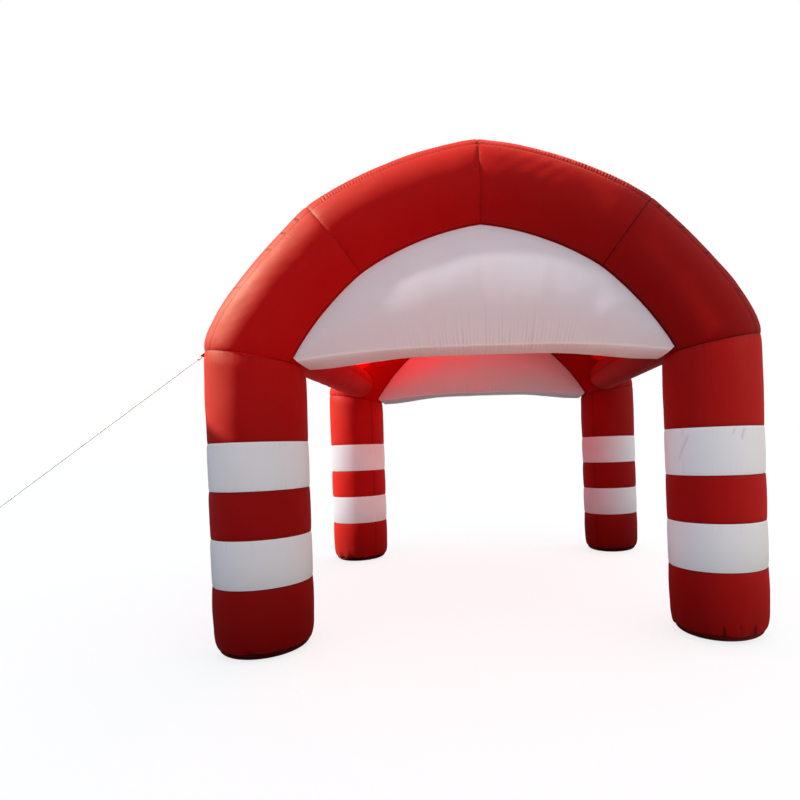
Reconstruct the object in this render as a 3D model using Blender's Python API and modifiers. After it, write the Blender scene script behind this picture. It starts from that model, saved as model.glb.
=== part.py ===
"""Four-legged inflatable event canopy: two arches, gable pillows, side beams and a sheet roof.

Sizes are in metres. The origin is on the ground under the middle of the canopy, with +X to the
right, +Y away from the front arch and +Z up. Air-filled pieces are solids of their inflated form.
"""

import math

import bmesh
import bpy
from mathutils import Vector

# ---------------------------------------------------------------- driving sizes

LEG_SPACING_X = 3.79  # between leg axes, left to right
LEG_SPACING_Y = 3.69  # between the planes of the two arches
TUBE_RADIUS = 0.387
GAP = 0.0003  # between pieces that touch

# Legs
BASE_FLAT_RADIUS = 0.250  # the part of the base disc that lies on the ground
BASE_SEAM_RADIUS = 0.352
BASE_SEAM_HEIGHT = 0.062
FOOT_ROUND_HEIGHT = 0.210  # where the foot panel reaches the full radius
LOWEST_BAND_HEIGHT = 0.565
BAND_HEIGHT = 0.378  # the two white bands and the red panel between them
BAND_SWELL = 0.004  # how far a short panel swells between its seams

# Arch, in the plane of an arch, as (x, z) on the right-hand side
SHOULDER_HEIGHT = 2.385  # of the tube's axis at the shoulder seam
SHOULDER_TILT = math.radians(9.5)  # the seam rises to the outside
MITRE_OUTER = (1.415, 3.604)  # seam between haunch and crown
MITRE_INNER = (0.940, 2.990)
APEX_OUTER_HEIGHT = 4.117
APEX_INNER_HEIGHT = 3.345
# The slopes at which the outer edges leave their seams, from the horizontal
HAUNCH_FOOT_SLOPE = math.radians(90.0)
HAUNCH_TOP_SLOPE = math.radians(43.5)
CROWN_FOOT_SLOPE = math.radians(32.1)
CROWN_TOP_SLOPE = math.radians(7.7)
HAUNCH_INNER_BOW = 0.040  # how far the inner edges bow outwards from a straight line
CROWN_INNER_BOW = 0.057
SEAM_PINCH = 0.03  # share of the depth that is lost at a mitred seam
PINCH_REACH = 0.16  # share of a segment over which the pinch fades

STRIP_ANGLE = 52.0  # half width of the outer strip, in degrees round the tube
GABLE_ANGLE = 28.0  # half width of the gable where it is sewn to the tube's inner side

# Gable pillow. A share runs from 0 at the apex to 1 at the corner, and a power above 1 keeps a
# change close to the corner.
GABLE_CORNER_DROP = 0.020  # from the sewn corner to the bottom seam's end
GABLE_CORNER_INSET = 0.020
GABLE_CORNER_CLEARANCE = 0.060  # how far the corner's inner edge bows off the tube
CORNER_BOW_START = 0.9  # share from which it does so
CORNER_TURN_START = 0.8  # share from which the underside turns inwards, not down
GABLE_BOTTOM_RISE = 0.072  # the bottom seam arches up by this in the middle
BOTTOM_RISE_POWER = 3
GABLE_HALF_THICKNESS = 0.200  # at the bottom seams, in the middle
THICKNESS_POWER = 4
GABLE_SWELL = 0.130  # how far each face swells from flat
GABLE_SWELL_SPAN = 0.85  # a face this high or higher swells in full
GABLE_SWELL_POWER = 1.2
UNDERSIDE_SAG_MIDDLE = 0.030
UNDERSIDE_SAG_END = 0.045
UNDERSIDE_SAG_POWER = 1.5

# Side beams and roof
BEAM_X = 1.750
BEAM_HEIGHT = 2.570
BEAM_RADIUS = 0.205
BEAM_END_RADIUS = 0.165
BEAM_END_TAPER = 0.260  # length over which a beam draws in to its end seam
BEAM_SINK = 0.150  # how far a beam's blank runs short of the arch's plane before it is cut
ROOF_THICKNESS = 0.002
ROOF_SAG = 0.090
ROOF_EDGE_CLEARANCE = 0.0005
ROOF_ABOVE_BEAM = 0.060  # from a beam's top to the first arch section that the roof follows

# Guy line, at the front left shoulder
ROPE_DIAMETER = 0.010
ROPE_SLOPE = math.radians(34.9)
ROPE_LENGTH = 2.22  # from knot to knot
TAB_ABOVE_SEAM = 0.020  # it is sewn to the outer strip, just above the shoulder seam
TAB_WIDTH = 0.050
TAB_LENGTH = 0.075
TAB_THICKNESS = 0.006
KNOT_LENGTH = 0.045
KNOT_RADIUS = 0.014
KNOT_FULLNESS = 0.5  # power of the cosine that rounds a knot: 1 is an ellipse
LOOP_LENGTH = 0.110
LOOP_WIDTH = 0.060

# Facets
TURNED_STEPS = 28
FILLET_STEPS = 3
LEG_TOP_STEPS = (0.0, 0.5, 0.92)  # shares of the height below the shoulder seam
BEAM_END_STEPS = 4
KNOT_STEPS = 8
ROPE_POINTS = 48
LOOP_POINTS = 24
SECTION_STEPS = (0.0, 0.05, 0.16, 0.32, 0.50, 0.68, 0.84, 0.95, 1.0)
GABLE_FACE_POINTS = 5
GABLE_SEAM_POINTS = 3
UNDERSIDE_STEPS = 6
ROOF_STEPS = 8

# Derived sizes
LEG_X = LEG_SPACING_X / 2
ARCH_Y = LEG_SPACING_Y / 2
BAND_LEVELS = [LOWEST_BAND_HEIGHT + BAND_HEIGHT * k for k in range(4)]
STRIP_ANGLES = [STRIP_ANGLE * (k / 3 - 1) for k in range(7)]
SIDE_ANGLES = [STRIP_ANGLE + (90 - STRIP_ANGLE) * k / 3 for k in range(3)]
SIDE_ANGLES += [90 + (90 - GABLE_ANGLE) * k / 5 for k in range(5)]
INNER_ANGLES = [180 + GABLE_ANGLE * (k / 2 - 1) for k in range(5)]
BODY_ANGLES = SIDE_ANGLES + INNER_ANGLES + [360 - a for a in reversed(SIDE_ANGLES)]
TUBE_ANGLES = BODY_ANGLES + STRIP_ANGLES[1:-1]


# ---------------------------------------------------------------- scene helpers


def clear_scene():
    """Remove every object that is in the file."""
    for old in list(bpy.data.objects):
        bpy.data.objects.remove(old, do_unlink=True)


def new_collection(name):
    collection = bpy.data.collections.new(name)
    bpy.context.scene.collection.children.link(collection)
    return collection


def new_material(name, colour, roughness, metallic=0.0):
    material = bpy.data.materials.new(name)
    material.use_nodes = True
    shader = material.node_tree.nodes["Principled BSDF"]
    shader.inputs["Base Color"].default_value = (*colour, 1.0)
    shader.inputs["Roughness"].default_value = roughness
    shader.inputs["Metallic"].default_value = metallic
    return material


def add_empty(name, location, collection):
    empty = bpy.data.objects.new(name, None)
    empty.location = location
    collection.objects.link(empty)
    return empty


def add_object(name, data, material, collection, parent=None, location=(0, 0, 0)):
    """An object of its own for one piece, with its material."""
    piece = bpy.data.objects.new(name, data)
    if not data.materials:
        data.materials.append(material)
    piece.parent = parent
    piece.location = location
    collection.objects.link(piece)
    return piece


def finished_mesh(name, bm):
    """A mesh with its faces pointing out, smooth but for its hard edges."""
    bmesh.ops.recalc_face_normals(bm, faces=bm.faces)
    mesh = bpy.data.meshes.new(name)
    bm.to_mesh(mesh)
    bm.free()
    mesh.shade_smooth()
    mesh.set_sharp_from_angle(angle=math.radians(40))
    return mesh


def skin(bm, rings):
    """A skin through rings of equal length, each quad split along the same diagonal."""
    rows = [[bm.verts.new(point) for point in ring] for ring in rings]
    count = len(rows[0])
    for low, high in zip(rows, rows[1:]):
        for k in range(count):
            n = (k + 1) % count
            bm.faces.new((low[k], low[n], high[n]))
            bm.faces.new((low[k], high[n], high[k]))
    return rows


def loft(name, rings, close_end=True):
    """A closed skin through rings, or one that is open at its last ring."""
    bm = bmesh.new()
    rows = skin(bm, rings)
    bm.faces.new(rows[0])
    if close_end:
        bm.faces.new(rows[-1])
    return finished_mesh(name, bm)


def mirrored(points, side):
    return [Vector((side * p.x, p.y, p.z)) for p in points]


def turned(name, profile):
    """A profile of (radius, height), from the top down its outer side, turned about Z."""
    mesh = bpy.data.meshes.new(name)
    points = [(radius, 0.0, height) for radius, height in profile]
    mesh.from_pydata(points, [(k, k + 1) for k in range(len(points) - 1)], [])
    return mesh


def add_screw(piece):
    screw = piece.modifiers.new("turn", "SCREW")
    screw.steps = TURNED_STEPS
    screw.render_steps = TURNED_STEPS
    screw.use_merge_vertices = True
    screw.merge_threshold = 0.00005
    screw.use_smooth_shade = True


def quadratic(p0, p1, p2, t):
    return p0 * (1 - t) ** 2 + p1 * (2 * t * (1 - t)) + p2 * t**2


def where_slopes_meet(p0, slope0, p2, slope2):
    """The point where lines that rise to the inside from p0 and p2, at these slopes, meet."""
    d0 = Vector((-math.cos(slope0), math.sin(slope0)))
    d2 = Vector((-math.cos(slope2), math.sin(slope2)))
    apart = p2 - p0
    along = (apart.x * d2.y - apart.y * d2.x) / (d0.x * d2.y - d0.y * d2.x)
    return p0 + d0 * along


# ---------------------------------------------------------------- arch sections


class Section:
    """A cross-section of an arch tube: its middle, its half width outwards and its half depth."""

    def __init__(self, outer, inner, depth):
        self.middle = Vector(((outer.x + inner.x) / 2, 0, (outer.y + inner.y) / 2))
        self.across = Vector(((outer.x - inner.x) / 2, 0, (outer.y - inner.y) / 2))
        self.depth = depth

    def point(self, angle, grow=0.0):
        """A point on the tube: 0 degrees is outermost, 90 is the front, 180 is innermost."""
        a = math.radians(angle)
        width = self.across.length + grow
        out = self.across.normalized() * (width * math.cos(a))
        return self.middle + out + Vector((0, -(self.depth + grow) * math.sin(a), 0))

    def ring(self, angles, grow=0.0):
        return [self.point(a, grow) for a in angles]

    def along(self):
        """The unit direction of the tube here, towards the apex."""
        out = self.across.normalized()
        return Vector((-out.z, 0, out.x))


def pinch(t):
    """The share of the full depth that a segment keeps at t of its length."""
    near = min(1.0, min(t, 1 - t) / PINCH_REACH)
    return 1 - SEAM_PINCH * (1 - near) ** 2


def segment(outer, inner):
    """Sections of one segment from three control points for each of its edges."""
    sections = []
    for t in SECTION_STEPS:
        depth = TUBE_RADIUS * pinch(t)
        sections.append(Section(quadratic(*outer, t), quadratic(*inner, t), depth))
    return sections


def bowed(start, end, bow):
    """Control points of an edge that bows outwards from the straight line by bow."""
    chord = end - start
    out = Vector((chord.y, -chord.x)).normalized()
    return start, (start + end) / 2 + out * (2 * bow), end


def arch_sections():
    """The sections of the right-hand haunch and crown, from the shoulder to the apex."""
    tilt = Vector((math.cos(SHOULDER_TILT), math.sin(SHOULDER_TILT)))
    half = TUBE_RADIUS / math.cos(SHOULDER_TILT)
    axis = Vector((LEG_X, SHOULDER_HEIGHT))
    shoulder_outer, shoulder_inner = axis + tilt * half, axis - tilt * half
    mitre_outer, mitre_inner = Vector(MITRE_OUTER), Vector(MITRE_INNER)
    apex_outer, apex_inner = Vector((0, APEX_OUTER_HEIGHT)), Vector((0, APEX_INNER_HEIGHT))
    haunch_bend = where_slopes_meet(
        shoulder_outer, HAUNCH_FOOT_SLOPE, mitre_outer, HAUNCH_TOP_SLOPE
    )
    crown_bend = where_slopes_meet(mitre_outer, CROWN_FOOT_SLOPE, apex_outer, CROWN_TOP_SLOPE)
    haunch = segment(
        (shoulder_outer, haunch_bend, mitre_outer),
        bowed(shoulder_inner, mitre_inner, HAUNCH_INNER_BOW),
    )
    crown = segment(
        (mitre_outer, crown_bend, apex_outer),
        bowed(mitre_inner, apex_inner, CROWN_INNER_BOW),
    )
    return {"haunch": haunch, "crown": crown}


def clear_of_seams(sections, rings):
    """Draw the first and last rings back by half a gap from their seams."""
    start, end = sections[0].along() * GAP / 2, sections[-1].along() * GAP / 2
    rings[0] = [p + start for p in rings[0]]
    rings[-1] = [p - end for p in rings[-1]]
    return rings


# ---------------------------------------------------------------- pieces


def quarter_round(radius, height, end_radius, end_height):
    """A profile from a vertical side at (radius, height) down to a level (end_radius, end_height)."""
    points = []
    for k in range(FILLET_STEPS + 1):
        a = math.pi / 2 * k / FILLET_STEPS
        across = end_radius + (radius - end_radius) * math.cos(a)
        points.append((across, height - (height - end_height) * math.sin(a)))
    return points


def leg_profiles():
    """The turned panels of a leg, bottom up, as (name, colour, profile)."""
    r = TUBE_RADIUS
    seam, seam_z = BASE_SEAM_RADIUS, BASE_SEAM_HEIGHT
    base = [(0, seam_z), *quarter_round(seam, seam_z, BASE_FLAT_RADIUS, 0), (0, 0)]

    top, round_z, bottom = BAND_LEVELS[0] - GAP, FOOT_ROUND_HEIGHT, seam_z + GAP
    foot = [(0, top), (r, top), (r + BAND_SWELL, (top + round_z) / 2)]
    foot += [*quarter_round(r, round_z, seam, bottom), (0, bottom)]

    panels = [("base_disc", "red", base), ("foot_panel", "red", foot)]
    names = ("lower_white_band", "middle_panel", "upper_white_band")
    for name, low, next_low in zip(names, BAND_LEVELS, BAND_LEVELS[1:]):
        high = next_low - GAP
        side = [(r, high), (r + BAND_SWELL, (low + high) / 2), (r, low)]
        colour = "white" if "white" in name else "red"
        panels.append((name, colour, [(0, high), *side, (0, low)]))
    return panels


def leg_top_mesh(shoulder, side):
    """The panel between the upper white band and the slanted shoulder seam."""
    low = BAND_LEVELS[-1]
    seam_ring = [p - Vector((LEG_X, 0, GAP / 2)) for p in shoulder.ring(TUBE_ANGLES)]
    rings = []
    for t in LEG_TOP_STEPS:
        swell = TUBE_RADIUS + BAND_SWELL * math.sin(math.pi * t)
        ring = []
        for angle, seam_point in zip(TUBE_ANGLES, seam_ring):
            a = math.radians(angle)
            height = low + (seam_point.z - low) * t
            ring.append(Vector((swell * math.cos(a), -swell * math.sin(a), height)))
        rings.append(ring)
    rings.append(seam_ring)
    return loft("leg_top_panel", [mirrored(ring, side) for ring in rings])


def tube_meshes(sections, side):
    """The body of an arch segment and the outer strip that closes it along its top."""
    body = clear_of_seams(sections, [s.ring(BODY_ANGLES) for s in sections])
    strip = []
    for s in sections:
        lift = s.across.normalized() * GAP
        strip.append([p + lift for p in s.ring(STRIP_ANGLES)])
    strip = clear_of_seams(sections, strip)
    body_mesh = loft("arch_body", [mirrored(ring, side) for ring in body])
    strip_mesh = loft("arch_strip", [mirrored(ring, side) for ring in strip])
    return body_mesh, strip_mesh


def gable_columns(sections):
    """For each section from the corner to the apex: the section, its bottom point on the seam
    line, the half thickness there, the way in which the underside sags, and its share."""
    sewn = [s.point(180 - GABLE_ANGLE) for s in sections]
    run = [0.0]
    for a, b in zip(sewn, sewn[1:]):
        run.append(run[-1] + (b - a).length)
    corner = sewn[0] - Vector((GABLE_CORNER_INSET, 0, GABLE_CORNER_DROP))
    half_at_corner = -sewn[0].y
    columns = []
    for s, length in zip(sections, run):
        u = 1 - length / run[-1]
        rise = GABLE_BOTTOM_RISE * (1 - u**BOTTOM_RISE_POWER)
        widening = (half_at_corner - GABLE_HALF_THICKNESS) * u**THICKNESS_POWER
        bottom = Vector((corner.x * u, 0, corner.z + rise))
        down = Vector((-past(u, CORNER_TURN_START), 0, -1)).normalized()
        columns.append((s, bottom, GABLE_HALF_THICKNESS + widening, down, u))
    return columns


def past(u, start):
    """How far u has gone from start to 1, as a share."""
    return max(0.0, u - start) / (1 - start)


def seam_line(bottom, half, down, u):
    """Points from the front bottom seam to the back one, bowed off the tube at the corner."""
    bow = GABLE_CORNER_CLEARANCE * past(u, CORNER_BOW_START)
    points = []
    for k in range(GABLE_SEAM_POINTS + 2):
        v = k / (GABLE_SEAM_POINTS + 1)
        y = half * (2 * v - 1)
        points.append(bottom + Vector((0, y, 0)) + down * (bow * 4 * v * (1 - v)))
    return points


def gable_pillow_mesh(columns):
    """Half of a gable pillow, from its corner to the open middle."""
    rings = []
    for s, bottom, half, down, u in columns:
        seam = seam_line(bottom, half, down, u)
        sewn = [s.point(a, GAP) for a in INNER_ANGLES]
        front, back = [], []
        for k in range(1, GABLE_FACE_POINTS + 1):
            v = k / (GABLE_FACE_POINTS + 1)
            face = seam[0].lerp(sewn[0], v)
            height = (sewn[0] - seam[0]).length
            swell = GABLE_SWELL * min(1.0, height / GABLE_SWELL_SPAN) ** GABLE_SWELL_POWER
            face.y -= swell * math.sin(math.pi * v)
            front.append(face)
            back.append(Vector((face.x, -face.y, face.z)))
        rings.append([seam[0], *front, *sewn, *reversed(back), *reversed(seam[1:])])
    bm = bmesh.new()
    ring = skin(bm, rings)[0]
    first, last = GABLE_FACE_POINTS + 1, GABLE_FACE_POINTS + len(INNER_ANGLES)
    below = [ring[0], *reversed(ring[-GABLE_SEAM_POINTS - 1 :])]
    for k in range(len(INNER_ANGLES) - 1):  # the corner, from the tube down to the seam line
        bm.faces.new((ring[first + k], ring[first + k + 1], below[k + 1], below[k]))
    bm.faces.new(ring[: first + 1])
    bm.faces.new(ring[last : last + GABLE_FACE_POINTS + 2])
    return finished_mesh("gable_pillow", bm)


def gable_underside_mesh(columns):
    """Half of the panel that closes a gable below its bottom seams."""
    rings = []
    for _, bottom, half, down, u in columns:
        top = [p + down * GAP for p in seam_line(bottom, half, down, u)]
        more_at_end = (UNDERSIDE_SAG_END - UNDERSIDE_SAG_MIDDLE) * u**UNDERSIDE_SAG_POWER
        bow = GABLE_CORNER_CLEARANCE * past(u, CORNER_BOW_START)
        depth = UNDERSIDE_SAG_MIDDLE + more_at_end + bow
        below = []
        for k in range(1, UNDERSIDE_STEPS):
            v = k / UNDERSIDE_STEPS
            y = half * (1 - 2 * v)
            below.append(bottom + Vector((0, y, 0)) + down * (depth * 4 * v * (1 - v) + GAP))
        rings.append([*reversed(top), *reversed(below)])  # wound as the pillow's rings are
    return loft("gable_underside", rings, close_end=False)


def add_mirror(piece):
    mirror = piece.modifiers.new("other half", "MIRROR")
    mirror.merge_threshold = 0.00005
    mirror.use_clip = True


def roof_mesh(sections):
    """Half of the roof sheet, from the top of a side beam to the ridge."""
    rows = []
    lift = BEAM_RADIUS + GAP + ROOF_THICKNESS / 2
    columns = [(Vector((BEAM_X, 0, BEAM_HEIGHT + lift)), Vector((0, 0, 1)), sections[0].depth)]
    columns += [(s.middle, s.across.normalized(), s.depth) for s in sections]
    bm = bmesh.new()
    for number, (middle, out, depth) in enumerate(columns):
        share = math.sin(math.pi / 2 * number / (len(columns) - 1))
        reach = ARCH_Y - depth - ROOF_EDGE_CLEARANCE
        row = []
        for k in range(ROOF_STEPS + 1):
            v = 2 * k / ROOF_STEPS - 1
            dip = out * (-ROOF_SAG * share * (1 - v**2))
            row.append(bm.verts.new(middle + Vector((0, reach * v, 0)) + dip))
        rows.append(row)
    for low, high in zip(rows, rows[1:]):
        for k in range(ROOF_STEPS):
            bm.faces.new((low[k], low[k + 1], high[k + 1], high[k]))
    return finished_mesh("roof_panel", bm)


def beam_profile():
    """A side beam's blank, from one end to the other, drawn in towards both ends."""
    half = ARCH_Y - BEAM_SINK
    seam = ARCH_Y - TUBE_RADIUS  # where the end seam lies, at the back of the tube
    upper = [(0, half), (BEAM_END_RADIUS, half)]
    for k in range(BEAM_END_STEPS + 1):
        a = math.pi / 2 * k / BEAM_END_STEPS
        radius = BEAM_END_RADIUS + (BEAM_RADIUS - BEAM_END_RADIUS) * math.sin(a)
        upper.append((radius, seam - BEAM_END_TAPER * (1 - math.cos(a))))
    return upper + [(radius, -height) for radius, height in reversed(upper)]


def add_rope_tube(name, points, cyclic, material, collection):
    """A round rope through points, as a curve."""
    curve = bpy.data.curves.new(name, "CURVE")
    curve.dimensions = "3D"
    curve.bevel_depth = ROPE_DIAMETER / 2
    curve.bevel_resolution = 2
    curve.use_fill_caps = not cyclic
    spline = curve.splines.new("POLY")
    spline.points.add(len(points) - 1)
    for target, point in zip(spline.points, points):
        target.co = (*point, 1.0)
    spline.use_cyclic_u = cyclic
    return add_object(name, curve, material, collection)


# ---------------------------------------------------------------- assembly


def build_legs(sections, materials, collection):
    profiles = [(n, c, turned(n, p)) for n, c, p in leg_profiles()]
    tops = {side: leg_top_mesh(sections["haunch"][0], side) for side in (-1, 1)}
    for end, y in (("front", -ARCH_Y), ("rear", ARCH_Y)):
        for hand, side in (("left", -1), ("right", 1)):
            name = f"leg_{end}_{hand}"
            leg = add_empty(name, (side * LEG_X, y, 0), collection)
            for part, colour, mesh in profiles:
                piece = add_object(f"{name}_{part}", mesh, materials[colour], collection, leg)
                add_screw(piece)
            add_object(f"{name}_top_panel", tops[side], materials["red"], collection, leg)


def build_arches(sections, materials, collection):
    meshes = {
        (part, side): tube_meshes(rows, side) for part, rows in sections.items() for side in (-1, 1)
    }
    corner_to_apex = sections["haunch"][1:] + sections["crown"][1:]
    columns = gable_columns(corner_to_apex)
    pillow, underside = gable_pillow_mesh(columns), gable_underside_mesh(columns)
    for end, y in (("front", -ARCH_Y), ("rear", ARCH_Y)):
        arch = add_empty(f"arch_{end}", (0, y, 0), collection)
        for (part, side), (body, strip) in meshes.items():
            name = f"arch_{end}_{part}_{'left' if side < 0 else 'right'}"
            add_object(name, body, materials["red"], collection, arch)
            add_object(f"{name}_outer_strip", strip, materials["red"], collection, arch)
        for name, mesh in ((f"gable_{end}_pillow", pillow), (f"gable_{end}_underside", underside)):
            piece = add_object(name, mesh, materials["white"], collection, arch)
            add_mirror(piece)


def build_beams(sections, materials, collection, cutters):
    profile = turned("side_beam", beam_profile())
    for hand, side in (("left", -1), ("right", 1)):
        beam = add_object(f"side_beam_{hand}", profile, materials["red"], collection)
        beam.location = (side * BEAM_X, 0, BEAM_HEIGHT)
        beam.rotation_euler = (math.pi / 2, 0, 0)
        add_screw(beam)
        rings = [mirrored(s.ring(TUBE_ANGLES, GAP), side) for s in sections["haunch"]]
        blank = loft("haunch_cutter", rings)
        for end, y in (("front", -ARCH_Y), ("rear", ARCH_Y)):
            name = f"cutter_{end}_{hand}"
            cutter = add_object(name, blank, materials["red"], cutters, None, (0, y, 0))
            cutter.hide_render = True
            cutter.display_type = "WIRE"
            cut = beam.modifiers.new(f"cut {end}", "BOOLEAN")
            cut.operation = "DIFFERENCE"
            cut.solver = "EXACT"
            cut.object = cutter


def build_roof(sections, materials, collection):
    lowest = BEAM_HEIGHT + BEAM_RADIUS + ROOF_ABOVE_BEAM
    above_beam = [s for s in sections["haunch"] if s.middle.z > lowest]
    mesh = roof_mesh(above_beam + sections["crown"][1:])
    roof = add_object("roof_panel", mesh, materials["red"], collection)
    add_mirror(roof)
    sheet = roof.modifiers.new("thickness", "SOLIDIFY")
    sheet.thickness = ROOF_THICKNESS
    sheet.offset = 0.0


def tab_mesh():
    """A flat piece of webbing, with its length along Z."""
    bm = bmesh.new()
    bmesh.ops.create_cube(bm, size=1.0)
    bmesh.ops.scale(bm, vec=(TAB_THICKNESS, TAB_WIDTH, TAB_LENGTH), verts=bm.verts)
    return finished_mesh("guy_tab", bm)


def knot_profile():
    profile = [(0, KNOT_LENGTH / 2)]
    for k in range(1, KNOT_STEPS):
        a = math.pi / 2 - math.pi * k / KNOT_STEPS
        profile.append((KNOT_RADIUS * math.cos(a) ** KNOT_FULLNESS, KNOT_LENGTH / 2 * math.sin(a)))
    return [*profile, (0, -KNOT_LENGTH / 2)]


def build_guy_line(sections, materials, collection):
    """The webbing tab at the front left shoulder seam, and the taut rope tied to it."""
    seam, above = (s.point(0, GAP) for s in sections["haunch"][:2])
    sewn = seam.lerp(above, TAB_ABOVE_SEAM / (above.z - seam.z))
    down = Vector((-math.cos(ROPE_SLOPE), 0, -math.sin(ROPE_SLOPE)))
    across = Vector((-down.z, 0, down.x))
    turn = (0, math.pi / 2 - ROPE_SLOPE, 0)  # brings a piece's Z onto the rope's line

    # The tab's end is square to the rope, so that its lower edge is what meets the strip.
    lower_edge = Vector((-sewn.x - GAP, -ARCH_Y, sewn.z))
    root = lower_edge - across * (TAB_THICKNESS / 2)
    tab = add_object("guy_tab", tab_mesh(), materials["webbing"], collection)
    tab.location = root + down * (TAB_LENGTH / 2)
    tab.rotation_euler = turn

    head = root + down * (TAB_LENGTH + GAP + KNOT_LENGTH / 2)
    start = head + down * (KNOT_LENGTH / 2 + GAP)
    foot = start + down * (ROPE_LENGTH + GAP + KNOT_LENGTH / 2)
    knot = turned("knot", knot_profile())
    for name, place in (("guy_rope_head_knot", head), ("guy_rope_end_knot", foot)):
        piece = add_object(name, knot, materials["rope"], collection, None, place)
        piece.rotation_euler = turn
        add_screw(piece)

    points = [start + down * (ROPE_LENGTH * k / (ROPE_POINTS - 1)) for k in range(ROPE_POINTS)]
    add_rope_tube("guy_rope", points, False, materials["rope"], collection)

    eye = foot + down * (KNOT_LENGTH / 2 + GAP + ROPE_DIAMETER / 2 + LOOP_LENGTH / 2)
    loop = []
    for k in range(LOOP_POINTS):
        a = math.tau * k / LOOP_POINTS
        along, aside = LOOP_LENGTH / 2 * math.cos(a), LOOP_WIDTH / 2 * math.sin(a)
        loop.append(eye + down * along + across * aside)
    add_rope_tube("guy_rope_end_loop", loop, True, materials["rope"], collection)


def main():
    clear_scene()
    canopy = new_collection("inflatable_event_canopy")
    cutters = new_collection("cutters")
    materials = {
        "red": new_material("red_polyester", (0.52, 0.018, 0.015), 0.45),
        "white": new_material("white_polyester", (0.80, 0.79, 0.80), 0.5),
        "webbing": new_material("red_webbing", (0.45, 0.02, 0.02), 0.8),
        "rope": new_material("white_rope", (0.62, 0.64, 0.66), 0.8),
    }
    sections = arch_sections()
    build_legs(sections, materials, canopy)
    build_arches(sections, materials, canopy)
    build_beams(sections, materials, canopy, cutters)
    build_roof(sections, materials, canopy)
    build_guy_line(sections, materials, canopy)


main()
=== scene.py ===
"""The looks of a four-legged inflatable event canopy.

Two arches of air-filled tube stand on four banded legs. Each arch holds a white gable pillow, two
side beams join the arches, a single sheet is the roof, and a taut guy line leaves one shoulder.
Every panel is the sewn cloth itself, drawn in and puckered at its seams. Sizes are in metres.
"""

import logging
import math
from dataclasses import dataclass, field, replace
from enum import Enum

import bpy
import numpy as np
from mathutils import Matrix, Vector
from mathutils.bvhtree import BVHTree


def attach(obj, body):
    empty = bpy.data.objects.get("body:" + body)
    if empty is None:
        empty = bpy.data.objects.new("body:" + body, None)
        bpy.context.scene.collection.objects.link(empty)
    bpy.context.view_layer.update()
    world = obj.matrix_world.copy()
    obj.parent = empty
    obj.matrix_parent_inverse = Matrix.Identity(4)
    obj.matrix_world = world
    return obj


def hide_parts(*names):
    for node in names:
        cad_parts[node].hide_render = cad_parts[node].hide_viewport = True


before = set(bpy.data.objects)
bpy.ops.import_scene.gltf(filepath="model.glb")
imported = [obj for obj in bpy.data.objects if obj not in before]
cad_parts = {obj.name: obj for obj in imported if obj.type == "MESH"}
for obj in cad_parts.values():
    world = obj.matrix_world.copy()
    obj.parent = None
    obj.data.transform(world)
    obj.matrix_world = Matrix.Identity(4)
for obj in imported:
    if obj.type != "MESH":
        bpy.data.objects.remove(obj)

LOG = logging.getLogger("canopy")
BODY = "root"
TAU = 2 * math.pi
Array = np.ndarray


class Side(Enum):
    """The left or right half of an arch, as the factor that X is multiplied by."""

    LEFT = -1
    RIGHT = 1


class End(Enum):
    """The front or rear arch, as the factor that Y is multiplied by."""

    FRONT = -1
    REAR = 1


class Slot(Enum):
    """The material slots of the record."""

    RED = "red_fabric"
    WHITE = "white_fabric"
    WEBBING = "red_webbing"
    ROPE = "white_rope"


# ---------------------------------------------------------------- the canopy's own sizes


@dataclass(frozen=True)
class CanopySizes:
    """Driving sizes, the same as those of the solids."""

    leg_x: float = 3.79 / 2
    arch_y: float = 3.69 / 2
    tube_radius: float = 0.387
    shoulder_height: float = 2.385
    shoulder_tilt: float = math.radians(9.5)
    band_foot: float = 0.565
    band_height: float = 0.378
    strip_angle: float = 52.0
    gable_angle: float = 28.0

    def band_levels(self) -> list[float]:
        """The heights of the seams of the two white bands, bottom up."""
        return [self.band_foot + self.band_height * k for k in range(4)]


SIZES = CanopySizes()


def smooth_step(x: Array | float, low: float, high: float) -> Array:
    """Rises smoothly from 0 at low to 1 at high.

    Args:
        x: The values to read.
        low: Where the rise starts.
        high: Where it ends.

    Returns:
        The share of the rise at each value.
    """
    t = np.clip((np.asarray(x, float) - low) / (high - low), 0, 1)
    return t * t * (3 - 2 * t)


def run_along(line: Array) -> Array:
    """How far along a line each of its points is."""
    return np.concatenate(([0.0], np.cumsum(np.linalg.norm(np.diff(line, axis=0), axis=1))))


def signed_power(x: Array, power: float) -> Array:
    """A power of each value's size, with the value's own sign."""
    return np.sign(x) * np.abs(x) ** power


@dataclass(frozen=True)
class Waver:
    """A smooth random curve along a line, made of a few seeded waves, about -1 to 1."""

    seed: int
    wavelength: float
    waves: int = 6

    def __call__(self, s: Array) -> Array:
        """The curve's height at each distance s.

        Args:
            s: Distances along the line.

        Returns:
            The height at each.
        """
        rng = np.random.default_rng(self.seed)
        rates = TAU / self.wavelength * rng.uniform(0.55, 1.7, self.waves)
        phases = rng.uniform(0, TAU, self.waves)
        total = sum(np.sin(r * s + p) for r, p in zip(rates, phases))
        return total / math.sqrt(self.waves / 2) / 1.6


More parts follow.
